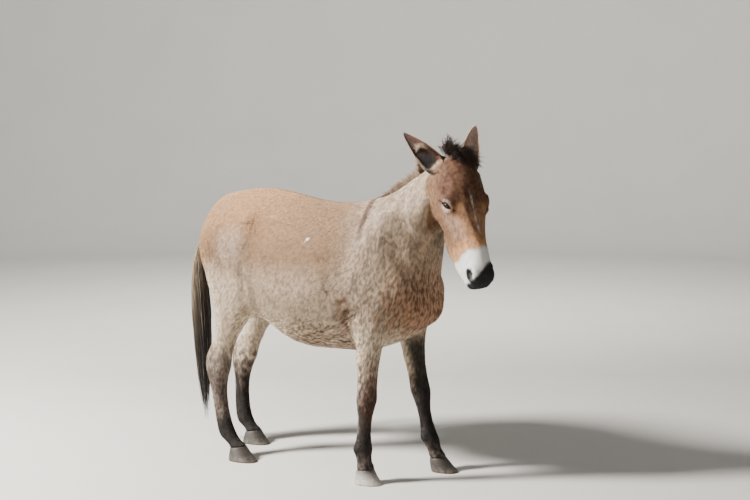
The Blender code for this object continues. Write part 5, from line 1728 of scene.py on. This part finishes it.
def tail():
    random = np.random.default_rng(71)
    rows = np.array(TAIL)[::-1]
    steps = np.linspace(0, 1, 13)
    lines, thick, colours = [], [], []
    grey, black, dock = long_colours("tail_grey", "tail", "tail_dock")
    for i in range(TAIL_LOCKS):
        share = i / (TAIL_LOCKS - 1)
        top = 1.085 - 0.33 * share
        length = random.uniform(0.30, 0.46) + 0.36 * share * random.uniform(0.7, 1.0)
        around = i * 2.4
        wander = random.normal(0, 0.10, 4)
        for _ in range(TAIL_STRANDS):
            own = length * random.uniform(0.75, 1.08)
            low = 0.105 + 0.26 * random.uniform(0, 1) ** 1.5
            z = np.maximum(top - own * steps + random.normal(0, 0.006), low + 0.01 * (1 - steps))
            x, half, deep = (np.interp(z, rows[:, 1], rows[:, c]) for c in (0, 2, 3))
            out = np.interp(steps, (0, 0.10, 0.35, 0.7, 1.0), (0.30, 0.85, 0.95, 0.85, 0.60))
            spin = around + 0.5 * steps + wander[0] * np.sin(3 * steps)
            spin = spin + random.normal(0, 0.20) + random.normal(0, 0.15) * steps
            jitter = random.normal(0, 0.004, 2)[:, None] * steps
            wave = 0.003 * np.sin(9 * steps + random.uniform(0, 6.28)) * steps
            x = x + out * deep * np.cos(spin) + jitter[0] + wave
            y = out * half * np.sin(spin) + jitter[1]
            lines.append(np.stack([x, y, z], 1) + np.array(FEET))
            thickness = TAIL_THICKNESS * np.interp(steps, (0, 0.1, 0.7, 1), (0.8, 1, 0.8, 0.15))
            thick.append(thickness * random.uniform(0.7, 1.25))
            paler = random.uniform(0, 1) < 0.12 + 0.45 * (1 - share) ** 3
            rearward = 0.5 - 0.5 * math.cos(around)
            near_dock = np.clip(1.2 - steps * (2.4 - 1.2 * rearward), 0, 1)
            near_dock = near_dock * (1 - share) * (0.4 + 0.6 * rearward)
            base = grey if paler else black
            colours.append(base + (dock - base) * (0.8 * near_dock)[:, None])
    return strands("tail_hair", np.array(lines), np.array(thick), np.array(colours), 72)


tail_hair = tail()
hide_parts("tail")

# %% [markdown]
# ## Ear fringe and lashes
# A short fringe edges the ears, in the colour of the rim that it grows on, and stiff dark lashes slope down
# over the eye from the rim of the upper lid. Both are strands too.

# %% Ear fringe and lashes
FRINGE = 300
LASHES = 42
FRINGE_THICKNESS, LASH_THICKNESS = 0.0006, 0.00035


def fringe():
    random = np.random.default_rng(81)
    at = points_of(skin)
    normal = normals_of(skin)
    on_ear = np.nonzero(ear > 0.6)[0]
    lines, thick, shades = [], [], []
    steps = np.linspace(0, 1, 5)
    for name, side in SIDES:
        axis = np.array(HEAD.to_3x3() @ on_side(EAR_AXIS[name], side).normalized())
        mine = on_ear[side * to_head(at[on_ear])[:, 1] > -0.02]
        bright = colour[mine].sum(axis=1)
        rim = mine[bright > np.quantile(bright, 0.72)]
        for i in random.choice(rim, FRINGE):
            long = random.uniform(0.005, 0.011)
            way = axis * random.uniform(0.5, 0.9) + normal[i] * random.uniform(0.3, 0.8)
            way = way + random.normal(0, 0.15, 3)
            way /= np.linalg.norm(way)
            bend_to = axis * 0.35 * long
            root = at[i] - normal[i] * 0.001
            lines.append(root + way * (long * steps)[:, None] + bend_to * (steps**2)[:, None])
            thick.append(FRINGE_THICKNESS * (1 - 0.85 * steps))
            shades.append(np.tile(colour[i] * 0.95, (5, 1)))
    return strands("ear_fringe", np.array(lines), np.array(thick), np.array(shades), 82)


def lashes():
    random = np.random.default_rng(91)
    steps = np.linspace(0, 1, 6)
    lines, thick = [], []
    for _, side in SIDES:
        place = eye_frame(side)
        for t in np.linspace(-0.85, 0.85, LASHES):
            x, y = SLIT_HALF * t, (LID_UP + 0.0012) * (1 - abs(t) ** 2.2)
            root = Vector((x, y, math.sqrt(LID_RADIUS**2 - x * x - y * y) - 0.0015))
            long = 0.016 * (1 - 0.35 * abs(t)) * random.uniform(0.8, 1.1)
            fan = 0.5 * t + random.normal(0, 0.12)
            path = []
            for s in steps:
                down, out = (0.10 * s - 0.55 * s * s) * long, (0.85 * s - 0.15 * s * s) * long
                path.append(tuple(place @ (root + Vector((fan * s * long, down, out)))))
            lines.append(path)
            thick.append(LASH_THICKNESS * (1 - 0.8 * steps))
    (dark,) = long_colours("lash")
    return strands("lashes", np.array(lines), np.array(thick), dark, 92)


fringe()
lashes()

# %% [markdown]
# ## Eyes
# A mule's eye is a large dark globe with a slightly bulging cornea, a deep brown iris and a wide level pupil.
# It is wet, so it is the smoothest thing on the animal. Colour is stored at the points of a fine ball, and a
# clear coat makes the wet film.

# %% Eyes
# The half-angle of the cornea's cap and how far it bulges.
CORNEA_ANGLE, CORNEA_BULGE = 0.62, 0.0012
PUPIL = (0.0085, 0.0040)
EYE_COLOURS = {"pupil": "#050506", "iris": "#3B2415", "iris_rim": "#140D0A", "white": "#6B5A50"}


def eyeball(name, side):
    segments, rows = 64, 40
    place = eye_frame(side)
    rings, shades = [], []
    pupil, iris, rim, white = (np.array(linear(code)) for code in EYE_COLOURS.values())
    for i in range(rows):
        polar = math.pi * (i + 0.5) / rows
        radius = EYE_RADIUS + CORNEA_BULGE * max(0.0, 1 - (polar / CORNEA_ANGLE) ** 2)
        ring = []
        for j in range(segments):
            a = 2 * math.pi * j / segments
            x, y = math.sin(polar) * math.cos(a) * radius, math.sin(polar) * math.sin(a) * radius
            ring.append(place @ Vector((x, y, radius * math.cos(polar))))
            inside = float(falling((x / PUPIL[0]) ** 2 + (y / PUPIL[1]) ** 2, 0.8, 1.2))
            outer = float(ramp(polar, 0.42, 0.60))
            beyond = float(ramp(polar, 0.62, 0.70))
            shade = iris + (rim - iris) * outer
            shade = shade + (white - shade) * beyond
            shades.append(shade + (pupil - shade) * inside)
        rings.append(ring)
    eye = loft(name, rings)
    keep_colour(eye, "eye_colour", shades)
    smooth_faces(eye)
    return eye


def wet_eye():
    material, tree, shader = finish_named("wet_eye", {
        "Roughness": 0.06, "IOR": 1.376, "Coat Weight": 1.0, "Coat Roughness": 0.02, "Coat IOR": 1.336})
    fibres = spread_to(tree, noise_at(tree, place_in(tree), 1600.0, 2), 0.6, 1.3)
    tree.links.new(scaled(tree, stored(tree, "eye_colour", "Color"), fibres), shader.inputs["Base Color"])
    return material


WET_EYE = wet_eye()
for name, side in SIDES:
    eye = eyeball(f"eyeball_{name}", side)
    eye.data.materials.append(WET_EYE)
    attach(eye, "root")
    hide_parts(f"eye_{name}")
    print(eye.name, triangles_of(eye), "triangles")

# %% [markdown]
# ## Hooves
# A hoof is a box of horn that grows down from the coronet, so its wall carries growth rings level with the
# hairline, and fine lines run down it. These are worn and unshod, brown at the top and dusty at the ground;
# three are dark, and the right fore hoof is pale. The solids are smoothed, ringed by moving points in and
# out, and kept flat on the floor.

# %% Hooves
RING_PITCH, RING_DEPTH = 0.0068, 0.0006
RING_SLOPE = 0.35
HOOF_TRIANGLES = 9000
CORONET_HORN = "#3F3833"


def hoof(end, side):
    piece = merged_copy(f"hoof_{end}_{side}", [f"{end}_{side}_hoof"])
    low = points_of(piece)[:, 2].min()
    fuse(piece, 0.0024)
    soften(piece, 0.0038)
    at = points_of(piece)
    x, _, z = at.T
    middle = (x.min() + x.max()) / 2
    level = z + RING_SLOPE * (x - middle)
    wall = ramp(z, 0.004, 0.012) * falling(normals_of(piece)[:, 2], 0.5, 0.8)
    at = at + normals_of(piece) * (RING_DEPTH * wall * np.sin(2 * math.pi * level / RING_PITCH))[:, None]
    at[:, 2] = np.where(at[:, 2] < low + 0.0035, low, at[:, 2])
    place_points(piece, at)
    thin_out(piece, HOOF_TRIANGLES)
    smooth_faces(piece)
    return piece


def worn_horn(name, dark, pale, dust):
    material, tree, shader = finish_named(name, {"Specular IOR Level": 0.35})
    place = place_in(tree)
    height = add(tree, "ShaderNodeSeparateXYZ", {0: place}).outputs[2]
    down = add(tree, "ShaderNodeMapping", {0: place, "Scale": (1, 1, 0.06)}).outputs[0]
    streaks = noise_at(tree, down, 420.0, 4)
    dirt = noise_at(tree, place, 60.0, 5)
    near_ground = math_node(tree, "SUBTRACT", dirt, product(tree, height, 9.0))
    shade = blended(tree, streaks, solid(dark), solid(pale))
    shade = blended(tree, spread_to(tree, height, start=0.035, end=0.065), shade, solid(CORONET_HORN))
    shade = blended(tree, spread_to(tree, near_ground, start=0.25, end=0.55), shade, solid(dust))
    tree.links.new(shade, shader.inputs["Base Color"])
    tree.links.new(spread_to(tree, dirt, 0.45, 0.75), shader.inputs["Roughness"])
    bump = add(tree, "ShaderNodeBump", {"Height": streaks, "Strength": 0.35, "Distance": 0.0006})
    tree.links.new(bump.outputs[0], shader.inputs["Normal"])
    return material


WORN_HORN = worn_horn("worn_dusty_horn", "#1D1A18", "#3A352F", "#554B40")
PALE_HORN = worn_horn("worn_pale_horn", "#6A6661", "#A09C96", "#A79F93")
for side, _ in SIDES:
    for end in LEG_PARTS:
        horn = hoof(end, side)
        horn.data.materials.append(PALE_HORN if (end, side) == ("fore", "right") else WORN_HORN)
        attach(horn, "root")
        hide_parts(f"{end}_{side}_hoof")
        print(horn.name, triangles_of(horn), "triangles")

# %% [markdown]
# ## Floor, light and camera
# The model stands on a plain pale floor that curves up far away on every side, so that each view has a calm
# background. The main light hangs high on the viewer's left. Weak ones fill from the right and from behind,
# and one more lights the wall. The camera stands on the animal's right and ahead of it, a little above the
# height of its poll, and looks down slightly.

# %% Studio
FLOOR_RADIUS, WALL_RADIUS, WALL_HEIGHT = 11.0, 3.5, 9.0
FLOOR_COLOURS = ("#B9B6B0", "#C1BEB8")
AIR_COLOUR, AIR_STRENGTH = "#E9ECEF", 0.27


def studio_floor():
    turn = np.linspace(0, 2 * math.pi, 96, endpoint=False)
    profile = [(0.01, 0.0), (2.0, 0.0), (5.0, 0.0), (FLOOR_RADIUS, 0.0)]
    for a in np.linspace(0.1, math.pi / 2, 12):
        profile.append((FLOOR_RADIUS + WALL_RADIUS * math.sin(a), WALL_RADIUS * (1 - math.cos(a))))
    profile.append((FLOOR_RADIUS + WALL_RADIUS, WALL_HEIGHT))
    verts = [(r * math.cos(t), r * math.sin(t), z) for r, z in profile for t in turn]
    count = len(turn)
    faces = [tuple(range(count))]
    for i in range(len(profile) - 1):
        for j in range(count):
            k = (j + 1) % count
            faces.append((i * count + j, (i + 1) * count + j, (i + 1) * count + k, i * count + k))
    mesh = bpy.data.meshes.new("studio_floor")
    mesh.from_pydata(verts, [], faces)
    floor = link("studio_floor", mesh)
    smooth_faces(floor)
    material, tree, shader = finish_named("pale_painted_floor", {"Roughness": 0.9, "Specular IOR Level": 0.1})
    tone = blended(tree, noise_at(tree, place_in(tree), 1.5, 3), *(solid(code) for code in FLOOR_COLOURS))
    tree.links.new(tone, shader.inputs["Base Color"])
    floor.data.materials.append(material)
    return floor


def area_light(name, place, size, power, tint, aim=(0, 0, 0.8)):
    light = bpy.data.lights.new(name, "AREA")
    light.shape, light.size, light.energy, light.color = "DISK", size, power, tint
    lamp = bpy.data.objects.new(name, light)
    bpy.context.scene.collection.objects.link(lamp)
    lamp.location = place
    lamp.rotation_euler = (Vector(aim) - Vector(place)).to_track_quat("-Z", "Y").to_euler()


studio_floor()
area_light("key_light", (-3.5, -3.9, 4.5), 1.2, 2250, (1.0, 0.97, 0.93))
area_light("fill_light", (5.5, -1.5, 3.0), 3.5, 30, (0.93, 0.96, 1.0))
area_light("rim_light", (-1.5, 5.0, 4.5), 3.0, 60, (1.0, 0.98, 0.95))
area_light("wall_light", (-2.0, 3.5, 5.5), 5.0, 900, (1.0, 1.0, 1.0), (-8.0, 11.0, 2.5))
world = bpy.data.worlds.new("studio_air")
world.use_nodes = True
air = world.node_tree.nodes["Background"].inputs
air["Color"].default_value = solid(AIR_COLOUR)
air["Strength"].default_value = AIR_STRENGTH
bpy.context.scene.world = world

# The camera's azimuth, how far it looks down, and its lens, as solved for the animal's own proportions.
AZIMUTH, LOOK_DOWN, LENS = math.radians(36.0), math.atan(115 / 1300), 62.4
CAMERA_FROM_POLL = Vector((2.9436, -4.6558, 0.080))
camera = bpy.data.objects.new("camera", bpy.data.cameras.new("camera"))
bpy.context.scene.collection.objects.link(camera)
camera.data.sensor_width, camera.data.lens = 36.0, LENS
camera.location = HEAD.translation + CAMERA_FROM_POLL
level = math.cos(LOOK_DOWN)
look = Vector((-math.sin(AZIMUTH) * level, math.cos(AZIMUTH) * level, -math.sin(LOOK_DOWN)))
camera.rotation_euler = look.to_track_quat("-Z", "Y").to_euler()
bpy.context.scene.camera = camera
print("camera at", [round(v, 3) for v in camera.location])

# %% [markdown]
# ## Last steps
# The tuft that was copied is taken away, the skin loses what only the trees had to read, and its map takes
# the name of the bake's map.

# %% Finish
bpy.data.objects.remove(tuft)
only_attributes(skin.data, ("coat_colour", "fleck", "SkinUV"))
skin.data.uv_layers["SkinUV"].name = "OFBake"
